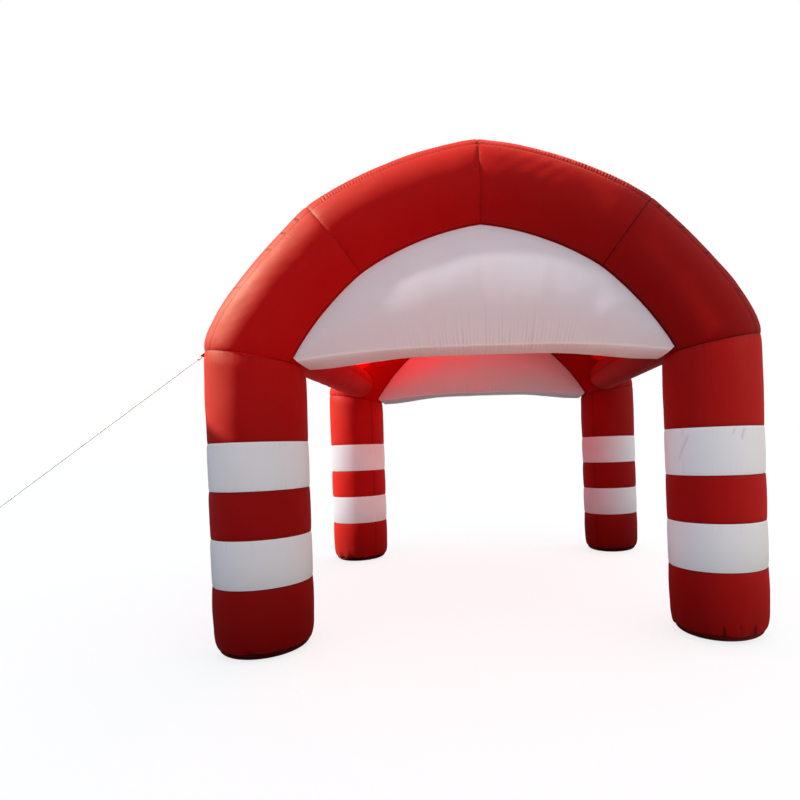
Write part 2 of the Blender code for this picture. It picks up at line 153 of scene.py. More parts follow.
@dataclass(frozen=True)
class Seam:
    """How cloth draws in to a sewn seam, and puckers beside it."""

    seed: int
    draw_in: float = 0.005  # depth of the valley at the seam; below 0 it is a ridge
    draw_reach: float = 0.020
    pucker: float = 0.0020  # above 0 for narrow ridges, below 0 for narrow folds
    pitch: float = 0.038
    reach: float = 0.055
    narrowness: float = 1.6
    wander: float = 2.2  # how unevenly the puckers are spaced
    patchiness: float = 0.55  # how unevenly high they are
    mean_height: float = 0.62
    sewn_flat: float = 0.006  # how near the seam the stitches hold the puckers flat

    def valley(self, distance: Array) -> Array:
        """How far the cloth is drawn in at each distance from the seam."""
        return -self.draw_in * np.exp(-distance / self.draw_reach)

    def puckers(self, along: Array, distance: Array, strength: Array | float) -> Array:
        """How far the puckers stand in or out beside the seam.

        Args:
            along: How far along the seam each point is.
            distance: How far from the seam each point is.
            strength: The share of the puckers' height, one value or one for each point.

        Returns:
            The displacement along the outward normal.
        """
        rate = TAU / self.pitch
        phase = rate * along + self.wander * Waver(self.seed, self.pitch * 5)(along)
        pleat = (0.5 + 0.5 * np.cos(phase)) ** self.narrowness - 0.35
        patches = self.patchiness * Waver(self.seed + 1, self.pitch * 7)(along)
        envelope = np.clip(self.mean_height + patches, 0.08, 1.3)
        reach = self.reach * np.clip(0.8 + 0.6 * Waver(self.seed + 2, self.pitch * 3)(along), 0.3, 1.7)
        fade = np.exp(-((distance / reach) ** 1.25)) * (1 - np.exp(-distance / self.sewn_flat))
        return self.pucker * strength * envelope * fade * pleat


@dataclass(frozen=True)
class SewnEdge:
    """One seam of a panel: its look, and each point's place beside it."""

    seam: Seam
    along: Array
    distance: Array
    strength: Array | float = 1.0


@dataclass(frozen=True)
class Crease:
    """A soft fold, from start to end in the cloth's own metres."""

    start: tuple[float, float]
    end: tuple[float, float]
    depth: float = 0.003
    width: float = 0.014
    crook: float = 0.18  # how far it bends to either side, in widths
    lip: float = 0.55  # the height of the ridge beside it, as a share of its depth

    def displacement(self, cloth: Array) -> Array:
        """How far the fold moves each point of cloth (rows, columns, 2).

        Args:
            cloth: The points in the cloth's own metres.

        Returns:
            The displacement along the outward normal.
        """
        a, b = np.array(self.start), np.array(self.end)
        run = b - a
        length = np.linalg.norm(run)
        offset = cloth - a
        share = (offset @ run) / length**2
        across = offset[..., 0] * run[1] / length - offset[..., 1] * run[0] / length
        ends = smooth_step(share, -0.05, 0.25) * (1 - smooth_step(share, 0.75, 1.05))
        bend = across / self.width + self.crook * np.sin(share * 7)
        fold = np.exp(-(bend**2)) - self.lip * np.exp(-((bend - 1.3) ** 2))
        return -self.depth * ends * fold


@dataclass
class Panel:
    """One cut piece of cloth as a grid of points, with what lies inside it."""

    points: Array  # rows, columns, 3
    inside: Array  # a point, or one for each grid point, on the air side
    cloth: Array  # rows, columns, 2: the cloth's own metres
    edges: list[SewnEdge] = field(default_factory=list)
    creases: tuple[Crease, ...] = ()
    seed: int = 1
    unevenness: float = 0.0022
    full_fold: float = 0.003  # the depth at which a fold's shade is at its darkest
    free_reach: float = 0.05  # how far from a seam the cloth is free to be uneven

    def _winding(self) -> Array:
        """The normals of the grid by its own winding, not yet of unit length."""
        return np.cross(np.gradient(self.points, axis=0), np.gradient(self.points, axis=1))

    def outward(self) -> Array:
        """The unit normals of the grid, pointing away from the air inside.

        Returns:
            A normal for each point.
        """
        normal = self._winding()
        normal /= np.maximum(np.linalg.norm(normal, axis=-1, keepdims=True), 1e-12)
        facing = np.sum(normal * (self.points - self.inside)) >= 0
        return normal if facing else -normal

    def is_flipped(self) -> bool:
        """Whether the grid's own winding faces the air inside."""
        return bool(np.sum(self._winding() * (self.points - self.inside)) < 0)

    def nearest_seam(self) -> tuple[Array, Array]:
        """Along and distance of the nearest seam at each point.

        Returns:
            The two distances.
        """
        along = np.zeros(self.points.shape[:2])
        distance = np.full(self.points.shape[:2], 9.0)
        for edge in self.edges:
            closer = edge.distance < distance
            along = np.where(closer, edge.along, along)
            distance = np.where(closer, edge.distance, distance)
        return along, distance

    def relief(self) -> Array:
        """The height of the puckers and creases alone.

        Returns:
            The height at each point.
        """
        height = np.zeros(self.points.shape[:2])
        for edge in self.edges:
            height += edge.seam.puckers(edge.along, edge.distance, edge.strength)
        for crease in self.creases:
            height += crease.displacement(self.cloth)
        return height

    def sewn(self) -> Array:
        """The grid with its seams, creases and unevenness.

        Returns:
            The moved points.
        """
        height = self.relief() + sum(edge.seam.valley(edge.distance) for edge in self.edges)
        u, v = self.cloth[..., 0], self.cloth[..., 1]
        broad = Waver(self.seed, 0.55)(u + 0.4 * v) * Waver(self.seed + 3, 0.75)(v - 0.3 * u)
        fine = Waver(self.seed + 5, 0.21)(u - 0.5 * v) * Waver(self.seed + 6, 0.26)(v + 0.2 * u)
        free = 1 - np.exp(-self.nearest_seam()[1] / self.free_reach)
        height += self.unevenness * free * (broad + 0.25 * fine)
        return self.points + self.outward() * height[..., None]


class PieceMaker:
    """Turns panels into named pieces that ride on the canopy and replace its solids."""

    air_fill: float = 1.0

    def __init__(self) -> None:
        """Starts with no pieces made."""
        self.made: list[bpy.types.Object] = []

    def inflated(
        self, name: str, panels: list[Panel], finish: bpy.types.Material, node: str
    ) -> None:
        """A piece of cloth that air holds out.

        Args:
            name: The piece's name.
            panels: The grids that it is made of.
            finish: Its material.
            node: The CAD node that it stands for.
        """
        self.from_panels(name, panels, finish, node)

    def from_panels(
        self, name: str, panels: list[Panel], finish: bpy.types.Material, node: str
    ) -> bpy.types.Object:
        """One mesh piece from one or more panels.

        Args:
            name: The piece's name.
            panels: The grids that it is made of.
            finish: Its material.
            node: The CAD node that it stands for.

        Returns:
            The new object.
        """
        vertices, faces, cloth, seam = [], [], [], []
        base = 0
        for panel in panels:
            rows, columns = panel.points.shape[:2]
            index = base + np.arange(rows * columns).reshape(rows, columns)
            corners = (index[:-1, :-1], index[1:, :-1], index[1:, 1:], index[:-1, 1:])
            if panel.is_flipped():
                corners = corners[::-1]
            faces.append(np.stack(corners, axis=-1).reshape(-1, 4))
            vertices.append(panel.sewn().reshape(-1, 3))
            flat = np.zeros((rows, columns, 3))
            flat[..., :2] = panel.cloth
            cloth.append(flat.reshape(-1, 3))
            # the fold's depth, which the finishes turn into painted shade in folds and a painted highlight
            # on ridges
            fold = np.clip(panel.relief() / panel.full_fold, -1, 1)
            seam.append(np.stack((*panel.nearest_seam(), fold), axis=-1).reshape(-1, 3))
            base += rows * columns
        mesh = bpy.data.meshes.new(name)
        mesh.from_pydata(np.vstack(vertices).tolist(), [], np.vstack(faces).tolist())
        for label, values in (("cloth", cloth), ("seam", seam)):
            layer = mesh.attributes.new(label, "FLOAT_VECTOR", "POINT")
            layer.data.foreach_set("vector", np.vstack(values).astype(np.float32).ravel())
        mesh.shade_smooth()
        mesh.materials.append(finish)
        piece = bpy.data.objects.new(name, mesh)
        bpy.context.scene.collection.objects.link(piece)
        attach(piece, BODY)
        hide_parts(node)
        self.made.append(piece)
        return piece


# ---------------------------------------------------------------- the form of an arch


@dataclass(frozen=True)
class Curve:
    """An edge of an arch tube in the arch's plane: a quadratic through three control points."""

    start: tuple[float, float]
    bend: tuple[float, float]
    end: tuple[float, float]

    def at(self, t: Array) -> Array:
        """The points (x, z) at shares t of the curve.

        Args:
            t: Shares of the curve.

        Returns:
            A point for each share.
        """
        t = np.asarray(t, float)[..., None]
        start, bend, end = (np.array(p) for p in (self.start, self.bend, self.end))
        return start * (1 - t) ** 2 + bend * (2 * t * (1 - t)) + end * t**2


@dataclass(frozen=True)
class TubeSegment:
    """One straight-cut length of an arch tube, between its outer and inner edges."""

    outer: Curve
    inner: Curve
    pinch: float = 0.03
    pinch_reach: float = 0.16

    def depth(self, t: Array) -> Array:
        """The tube's half depth, which is pinched towards both seams."""
        near = np.minimum(1.0, np.minimum(t, 1 - t) / self.pinch_reach)
        return SIZES.tube_radius * (1 - self.pinch * (1 - near) ** 2)

    def middle(self, t: Array) -> Array:
        """The tube's middle line, in three dimensions, in the arch's plane."""
        flat = (self.outer.at(t) + self.inner.at(t)) / 2
        return np.stack((flat[..., 0], np.zeros_like(flat[..., 0]), flat[..., 1]), axis=-1)

    def surface(self, t: Array, angle: Array) -> Array:
        """Points of the tube: 0 degrees is outermost, 90 is the front, 180 is innermost.

        Args:
            t: Shares along the segment.
            angle: Angles round the tube, in degrees.

        Returns:
            The points.
        """
        t, angle = np.broadcast_arrays(t, np.radians(angle))
        across = (self.outer.at(t) - self.inner.at(t)) / 2
        middle = self.middle(t)
        swing = np.cos(angle)
        flat_x = middle[..., 0] + across[..., 0] * swing
        flat_z = middle[..., 2] + across[..., 1] * swing
        return np.stack((flat_x, -self.depth(t) * np.sin(angle), flat_z), axis=-1)

    def length(self) -> float:
        """The length of the middle line."""
        line = self.middle(np.linspace(0, 1, 60))
        return float(np.linalg.norm(np.diff(line, axis=0), axis=1).sum())


@dataclass(frozen=True)
class ArchForm:
    """The right-hand half of an arch, as a haunch and a crown."""

    mitre_outer: tuple[float, float] = (1.415, 3.604)
    mitre_inner: tuple[float, float] = (0.940, 2.990)
    apex_outer: tuple[float, float] = (0.0, 4.117)
    apex_inner: tuple[float, float] = (0.0, 3.345)
    haunch_slopes: tuple[float, float] = (90.0, 43.5)
    crown_slopes: tuple[float, float] = (32.1, 7.7)
    haunch_bow: float = 0.040
    crown_bow: float = 0.057

    @staticmethod
    def _meeting(start: Array, slope: float, end: Array, end_slope: float) -> Array:
        """Where two edges that rise to the inside at these slopes meet.

        Args:
            start: The lower end of the first edge.
            slope: Its slope, in degrees.
            end: The upper end of the second edge.
            end_slope: Its slope, in degrees.

        Returns:
            The point where they meet.
        """
        a = np.array([-math.cos(math.radians(slope)), math.sin(math.radians(slope))])
        b = np.array([-math.cos(math.radians(end_slope)), math.sin(math.radians(end_slope))])
        return start + a * np.linalg.solve(np.column_stack((a, -b)), end - start)[0]

    @staticmethod
    def _bowed(start: Array, end: Array, bow: float) -> Curve:
        """An edge that bows outwards from the straight line.

        Args:
            start: Its lower end.
            end: Its upper end.
            bow: How far its middle stands out.

        Returns:
            The edge.
        """
        chord = end - start
        out = np.array([chord[1], -chord[0]]) / np.linalg.norm(chord)
        return Curve(tuple(start), tuple((start + end) / 2 + out * 2 * bow), tuple(end))

    def shoulder(self) -> tuple[Array, Array]:
        """The outer and inner ends of the shoulder seam.

        Returns:
            The two ends (x, z).
        """
        tilt = np.array([math.cos(SIZES.shoulder_tilt), math.sin(SIZES.shoulder_tilt)])
        half = tilt * SIZES.tube_radius / math.cos(SIZES.shoulder_tilt)
        axis = np.array([SIZES.leg_x, SIZES.shoulder_height])
        return axis + half, axis - half

    def haunch(self) -> TubeSegment:
        """From the shoulder seam to the mitre.

        Returns:
            The length of tube.
        """
        outer, inner = self.shoulder()
        end = np.array(self.mitre_outer)
        bend = self._meeting(outer, self.haunch_slopes[0], end, self.haunch_slopes[1])
        edge = Curve(tuple(outer), tuple(bend), self.mitre_outer)
        return TubeSegment(edge, self._bowed(inner, np.array(self.mitre_inner), self.haunch_bow))

    def crown(self) -> TubeSegment:
        """From the mitre to the apex.

        Returns:
            The length of tube.
        """
        start, end = np.array(self.mitre_outer), np.array(self.apex_outer)
        bend = self._meeting(start, self.crown_slopes[0], end, self.crown_slopes[1])
        edge = Curve(self.mitre_outer, tuple(bend), self.apex_outer)
        inner = self._bowed(np.array(self.mitre_inner), np.array(self.apex_inner), self.crown_bow)
        return TubeSegment(edge, inner)


def turned_about(points: Array, side: Side, end: End) -> Array:
    """Brings points of the right-hand half, in the arch's plane, to one side of one arch.

    Args:
        points: The points, which are left as they are.
        side: The half of the arch that they go to.
        end: The arch that they go to; the front face stays at the front on both.

    Returns:
        The moved points.
    """
    moved = points * np.array([side.value, 1, 1])
    moved[..., 1] += end.value * SIZES.arch_y
    return moved


# ---------------------------------------------------------------- finishes


Colour = tuple[float, float, float]
BLACK, WHITE = (0.0, 0.0, 0.0, 1.0), (1.0, 1.0, 1.0, 1.0)


def opaque(colour: Colour) -> tuple[float, ...]:
    """A colour with an alpha of 1."""
    return (*colour, 1.0)


def new_material(name: str) -> tuple[bpy.types.Material, "NodeWriter", bpy.types.Node]:
    """An empty material, a writer for its nodes, and its main shader.

    Args:
        name: The material's name.

    Returns:
        The three of them.
    """
    material = bpy.data.materials.new(name)
    material.use_nodes = True
    return material, NodeWriter(material.node_tree), material.node_tree.nodes["Principled BSDF"]


class NodeWriter:
    """Adds and links shader nodes with little writing."""

    def __init__(self, tree: bpy.types.NodeTree) -> None:
        """Works on one node tree."""
        self.tree = tree

    def node(self, kind: str, inputs: dict | None = None, **settings: object) -> bpy.types.Node:
        """Adds a node.

        Args:
            kind: The node's type.
            inputs: What goes into its sockets, by name or number: a socket or a value.
            **settings: Properties of the node.

        Returns:
            The new node.
        """
        made = self.tree.nodes.new(kind)
        for key, value in settings.items():
            setattr(made, key, value)
        for key, value in (inputs or {}).items():
            if isinstance(value, bpy.types.NodeSocket):
                self.tree.links.new(value, made.inputs[key])
            else:
                made.inputs[key].default_value = value
        return made

    def math(self, operation: str, *values: object) -> bpy.types.NodeSocket:
        """A Math node's output, from sockets or numbers."""
        return self.node("ShaderNodeMath", dict(enumerate(values)), operation=operation).outputs[0]

    def mix_colour(self, factor: object, first: object, second: object) -> bpy.types.NodeSocket:
        """A colour between two others.

        Args:
            factor: How far it is towards the second: a socket or a number.
            first: The first colour: a socket, or red, green, blue and alpha.
            second: The second colour.

        Returns:
            The mixed colour's socket.
        """
        inputs = {"Factor": factor, 6: first, 7: second}
        return self.node("ShaderNodeMix", inputs, data_type="RGBA").outputs[2]

    def attribute(self, name: str) -> tuple[bpy.types.NodeSocket, ...]:
        """The X, Y and Z of a mesh attribute."""
        source = self.node("ShaderNodeAttribute", attribute_name=name)
        return tuple(self.node("ShaderNodeSeparateXYZ", {0: source.outputs["Vector"]}).outputs)


class EffectGroups:
    """Shader node groups that several finishes share, each built once."""

    painted_ground_shade: float = 0.38  # how much darker the cloth is at the ground: painted shade near the ground
    painted_ground_shade_height: float = 0.85
    stitch_rows: tuple[float, ...] = (1.0, 2.4)  # where the rows run, in row distances from the seam
    stitch_width: float = 0.0018
    stitch_share: float = 0.72  # how much of each stitch's length shows
    hem_width: float = 3.2  # in row distances
    wear_scales: tuple[float, float] = (2.6, 31.0)  # of the broad and the fine wear
    seam_wear: tuple[float, float] = (0.03, 0.9)  # how far from a seam it reaches, and how strong it is
    gloss_wear: float = 0.10

    def __init__(self) -> None:
        """Builds the groups."""
        self.weave = self._weave()
        self.thread = self._thread()
        self.wear_and_painted_shade = self._wear_and_painted_shade()

    @staticmethod
    def _socket(group: bpy.types.NodeTree, label: str, way: str) -> bpy.types.NodeTreeInterfaceSocket:
        """Adds one of a group's sockets: a colour if its name says so, and otherwise a number."""
        kind = "NodeSocketColor" if "colour" in label.lower() else "NodeSocketFloat"
        return group.interface.new_socket(label, in_out=way, socket_type=kind)

    def _group(self, name: str, inputs: dict[str, float | None], outputs: tuple[str, ...]) -> tuple:
        """An empty group with its sockets.

        Args:
            name: The group's name.
            inputs: Each input's first value; a colour has none.
            outputs: The outputs' names.

        Returns:
            The group, a writer for it, its input node and its output node.
        """
        group = bpy.data.node_groups.new(name, "ShaderNodeTree")
        for label, value in inputs.items():
            socket = self._socket(group, label, "INPUT")
            if value is not None:
                socket.default_value = value
        for label in outputs:
            self._socket(group, label, "OUTPUT")
        writer = NodeWriter(group)
        return group, writer, writer.node("NodeGroupInput"), writer.node("NodeGroupOutput")

    def _weave(self) -> bpy.types.NodeTree:
        """Plain weave: threads of warp and weft that pass over each other in turn.

        Returns:
            The group.
        """
        inputs = {"U": 0.0, "V": 0.0, "Pitch": 0.001}
        group, w, given, out = self._group("plain_weave", inputs, ("Height",))
        rate = w.math("DIVIDE", math.pi, given.outputs["Pitch"])
        warp = w.math("SINE", w.math("MULTIPLY", given.outputs["U"], rate))
        weft = w.math("SINE", w.math("MULTIPLY", given.outputs["V"], rate))
        over = w.math("GREATER_THAN", w.math("MULTIPLY", warp, weft), 0.0)
        bulge = w.math("MULTIPLY", w.math("ABSOLUTE", warp), over)
        under = w.math("MULTIPLY", w.math("ABSOLUTE", weft), w.math("SUBTRACT", 1.0, over))
        w.tree.links.new(w.math("ADD", bulge, under), out.inputs["Height"])
        return group

    def _thread(self) -> bpy.types.NodeTree:
        """Two rows of stitches beside a seam: a mask of the thread, and its height.

        Returns:
            The group.
        """
        inputs = {"Along": 0.0, "Distance": 1.0, "Row": 0.008, "Pitch": 0.006}
        group, w, given, out = self._group("seam_stitches", inputs, ("Thread", "Hem"))
        total = None
        for row in self.stitch_rows:
            middle = w.math("MULTIPLY", given.outputs["Row"], row)
            aside = w.math("ABSOLUTE", w.math("SUBTRACT", given.outputs["Distance"], middle))
            inside = w.math("LESS_THAN", aside, self.stitch_width / 2)
            step = w.math("FRACT", w.math("DIVIDE", given.outputs["Along"], given.outputs["Pitch"]))
            dash = w.math("MULTIPLY", inside, w.math("LESS_THAN", step, self.stitch_share))
            total = dash if total is None else w.math("MAXIMUM", total, dash)
        w.tree.links.new(total, out.inputs["Thread"])
        fold = w.math("MULTIPLY", given.outputs["Row"], self.hem_width)
        w.tree.links.new(w.math("LESS_THAN", given.outputs["Distance"], fold), out.inputs["Hem"])
        return group

    def _wear_and_painted_shade(self) -> bpy.types.NodeTree:
        """Soft variation of a cloth's colour and gloss from wear, with painted shade in folds and near the
        ground and a painted highlight on ridge tops.

        Returns:
            The group.
        """
        inputs = {
            "Colour": None,
            "Worn colour": None,
            "Seam distance": 1.0,
            "Fold": 0.0,
            "Fold shade": 0.4,
            "Ridge light": 0.0,
            "Amount": 0.3,
        }
        group, w, given, out = self._group("handled_cloth", inputs, ("Colour", "Gloss change"))
        place = w.node("ShaderNodeTexCoord").outputs["Object"]
        height = w.node("ShaderNodeSeparateXYZ", {0: place}).outputs[2]
        # painted shade: the colour darkens towards the ground
        ground = {0: height, 1: 0.0, 2: self.painted_ground_shade_height, 3: self.painted_ground_shade, 4: 0.0}
        ground_shaded = w.node("ShaderNodeMapRange", ground, interpolation_type="SMOOTHSTEP").outputs[0]
        broad, fine = (
            w.node("ShaderNodeTexNoise", {"Vector": place, "Scale": scale, "Detail": detail})
            for scale, detail in zip(self.wear_scales, (3.0, 2.0))
        )
        patches = w.math("MULTIPLY", w.math("SUBTRACT", broad.outputs[0], 0.42), 2.4)
        mixed = w.math("ADD", patches, w.math("MULTIPLY", w.math("SUBTRACT", fine.outputs[0], 0.5), 0.5))
        reach, strength = self.seam_wear
        beside = {0: given.outputs["Seam distance"], 1: 0.0, 2: reach, 3: strength, 4: 0.0}
        near = w.node("ShaderNodeMapRange", beside).outputs[0]
        worn = w.math("MULTIPLY", w.math("ADD", mixed, near), given.outputs["Amount"])
        worn = w.node("ShaderNodeClamp", {0: worn}).outputs[0]
        blend = w.mix_colour(worn, given.outputs["Colour"], given.outputs["Worn colour"])
        # painted shade in the bottoms of folds and creases
        depth = w.math("MAXIMUM", w.math("MULTIPLY", given.outputs["Fold"], -1.0), 0.0)
        shade = w.math("MAXIMUM", w.math("MULTIPLY", depth, given.outputs["Fold shade"]), ground_shaded)
        shaded = w.mix_colour(shade, blend, BLACK)
        # painted highlight on the tops of ridges
        ridge = w.math("MAXIMUM", given.outputs["Fold"], 0.0)
        light = w.math("MULTIPLY", ridge, given.outputs["Ridge light"])
        w.tree.links.new(w.mix_colour(light, shaded, WHITE), out.inputs["Colour"])
        w.tree.links.new(w.math("MULTIPLY", mixed, self.gloss_wear), out.inputs["Gloss change"])
        return group


@dataclass(frozen=True)
class ClothFinish:
    """A coated polyester cloth: its colours, gloss, and how much light passes through it."""

    name: str
    colour: Colour
    worn: Colour
    thread: Colour
    roughness: float = 0.45
    index: float = 1.25  # of refraction, for the coating's gloss
    worn_amount: float = 0.25
    glow: float = 0.0  # share of the light that passes through
    glow_colour: Colour = (1.0, 1.0, 1.0)
    fold_shade: float = 0.55  # how dark the painted shade at the bottom of a fold is
    ridge_highlight: float = 0.0  # how strong the painted highlight on the top of a ridge is
    diffuse_roughness: float = 0.8
    tape: float = 0.0  # width of the line of thread colour along each seam
    sheen: float = 0.0
    sheen_tint: Colour = (1.0, 1.0, 1.0)
    sheen_roughness: float = 0.45
    weave_pitch: float = 0.0012
    stitch_row: float = 0.008
    relief: tuple[float, float, float] = (0.12, 0.5, 0.6)  # of the weave, the stitches and the hem
    bump: tuple[float, float] = (0.35, 0.001)  # strength and depth

    def build(self, effects: EffectGroups) -> bpy.types.Material:
        """Makes the material.

        Args:
            effects: The shared shader groups.

        Returns:
            The material.
        """
        material, w, shader = new_material(self.name)
        links = material.node_tree.links
        u, v, _ = w.attribute("cloth")
        along, distance, fold = w.attribute("seam")
        weave = w.node("ShaderNodeGroup", node_tree=effects.weave)
        thread = w.node("ShaderNodeGroup", node_tree=effects.thread)
        worn_and_shaded = w.node("ShaderNodeGroup", node_tree=effects.wear_and_painted_shade)
        for group, name, given in (
            (weave, "U", u),
            (weave, "V", v),
            (thread, "Along", along),
            (thread, "Distance", distance),
            (worn_and_shaded, "Seam distance", distance),
            (worn_and_shaded, "Fold", fold),
        ):
            links.new(given, group.inputs[name])
        for group, name, value in (
            (weave, "Pitch", self.weave_pitch),
            (thread, "Row", self.stitch_row),
            (worn_and_shaded, "Colour", opaque(self.colour)),
            (worn_and_shaded, "Worn colour", opaque(self.worn)),
            (worn_and_shaded, "Amount", self.worn_amount),
            (worn_and_shaded, "Fold shade", self.fold_shade),
            (worn_and_shaded, "Ridge light", self.ridge_highlight),
            (shader, "IOR", self.index),
            (shader, "Diffuse Roughness", self.diffuse_roughness),
            (shader, "Sheen Weight", self.sheen),
            (shader, "Sheen Roughness", self.sheen_roughness),
            (shader, "Sheen Tint", opaque(self.sheen_tint)),
        ):
            group.inputs[name].default_value = value
        bound = thread.outputs["Thread"]
        if self.tape > 0:
            bound = w.math("MAXIMUM", bound, w.math("LESS_THAN", distance, self.tape))
        sewn = w.mix_colour(bound, worn_and_shaded.outputs["Colour"], opaque(self.thread))
        links.new(sewn, shader.inputs["Base Color"])
        rough = w.math("ADD", worn_and_shaded.outputs["Gloss change"], self.roughness)
        links.new(rough, shader.inputs["Roughness"])
        raised = (weave.outputs["Height"], thread.outputs["Thread"], thread.outputs["Hem"])
        threads, stitches, hem = (w.math("MULTIPLY", h, share) for h, share in zip(raised, self.relief))
        height = w.math("ADD", w.math("ADD", threads, stitches), hem)
        strength, depth = self.bump
        bump = w.node("ShaderNodeBump", {"Height": height, "Strength": strength, "Distance": depth})
        links.new(bump.outputs[0], shader.inputs["Normal"])
        if self.glow > 0:
            through = w.node("ShaderNodeBsdfTranslucent", {"Color": opaque(self.glow_colour)})
            links.new(bump.outputs[0], through.inputs["Normal"])
            mix = w.node("ShaderNodeMixShader", {0: self.glow, 1: shader.outputs[0], 2: through.outputs[0]})
            links.new(mix.outputs[0], material.node_tree.nodes["Material Output"].inputs["Surface"])
        return material


@dataclass(frozen=True)
class StrandFinish:
    """Rope or webbing: twisted or woven strands with a fleck of another colour."""

    name: str
    colour: Colour
    shade: Colour
    fleck: Colour
    scale: float
    roughness: float = 0.72
    grain_roughness: float = 0.15  # how much rougher the grain makes it
    fleck_spacing: float = 0.35  # the flecks' scale, as a share of the grain's
    fleck_size: float = 0.2
    bump: tuple[float, float] = (0.4, 0.0006)  # strength and depth

    def build(self) -> bpy.types.Material:
        """Makes the material.

        Returns:
            The material.
        """
        material, w, shader = new_material(self.name)
        links = material.node_tree.links
        place = w.node("ShaderNodeTexCoord").outputs["Object"]
        noise = {"Vector": place, "Scale": self.scale, "Detail": 4.0}
        grain = w.node("ShaderNodeTexNoise", noise).outputs[0]
        spacing = {"Vector": place, "Scale": self.scale * self.fleck_spacing}
        spots = w.node("ShaderNodeTexVoronoi", spacing).outputs["Distance"]
        tone = w.mix_colour(grain, opaque(self.colour), opaque(self.shade))
        flecked = w.mix_colour(w.math("LESS_THAN", spots, self.fleck_size), tone, opaque(self.fleck))
        links.new(flecked, shader.inputs["Base Color"])
        rough = w.math("ADD", w.math("MULTIPLY", grain, self.grain_roughness), self.roughness)
        links.new(rough, shader.inputs["Roughness"])
        strength, depth = self.bump
        bump = w.node("ShaderNodeBump", {"Height": grain, "Strength": strength, "Distance": depth})
        links.new(bump.outputs[0], shader.inputs["Normal"])
        return material


class Finishes:
    """Every material of the canopy."""

    def __init__(self) -> None:
        """Builds the groups and the materials."""
        effects = EffectGroups()
        red = ClothFinish(
            "red_coated_polyester",
            colour=(0.36, 0.0042, 0.0044),
            worn=(0.42, 0.018, 0.015),
            thread=(0.055, 0.0015, 0.0025),
            roughness=0.58,
            index=1.16,
            glow=0.20,
            glow_colour=(1.0, 0.014, 0.012),
            # strong painted shade in the folds of the red cloth
            fold_shade=0.85,
            tape=0.0045,
            sheen=0.16,
            sheen_tint=(1.0, 0.30, 0.25),
        )
        white = ClothFinish(
            "white_coated_polyester",
            colour=(0.88, 0.88, 0.89),
            worn=(0.80, 0.79, 0.78),
            thread=(0.94, 0.92, 0.91),
            glow=0.05,
            glow_colour=(0.9, 0.88, 0.9),
            tape=0.0045,
        )
        # the base disc is the red cloth darkened: painted shade under the leg
        base = replace(red, name="red_base_cloth", colour=(0.05, 0.001, 0.001), glow=0.0)
        roof = replace(red, name="red_roof_cloth", glow=0.62, glow_colour=(1.0, 0.014, 0.006), sheen=0.0)
        gable = replace(
            white,
            name="white_gable_cloth",
            colour=(0.86, 0.85, 0.87),
            worn=(0.80, 0.78, 0.78),
            thread=(0.95, 0.93, 0.91),
            roughness=0.42,
            glow=0.24,
            glow_colour=(0.95, 0.92, 0.92),
            # painted shade in folds and a painted highlight on ridge tops
            fold_shade=0.22,
            ridge_highlight=0.45,
            tape=0.004,
        )
        rope = StrandFinish(
            "twisted_rope_fibre",
            colour=(0.92, 0.96, 1.00),
            shade=(0.80, 0.80, 0.87),
            fleck=(0.88, 0.82, 0.85),
            scale=9.0,
        )
        webbing = StrandFinish(
            "red_woven_webbing",
            colour=(0.42, 0.012, 0.012),
            shade=(0.30, 0.008, 0.008),
            fleck=(0.50, 0.03, 0.025),
            scale=700.0,
        )
        cloths = (red, base, roof, white, gable)
        self.red, self.base, self.roof, self.white, self.gable = (c.build(effects) for c in cloths)
        self.rope, self.webbing = rope.build(), webbing.build()


# ---------------------------------------------------------------- sub-assemblies


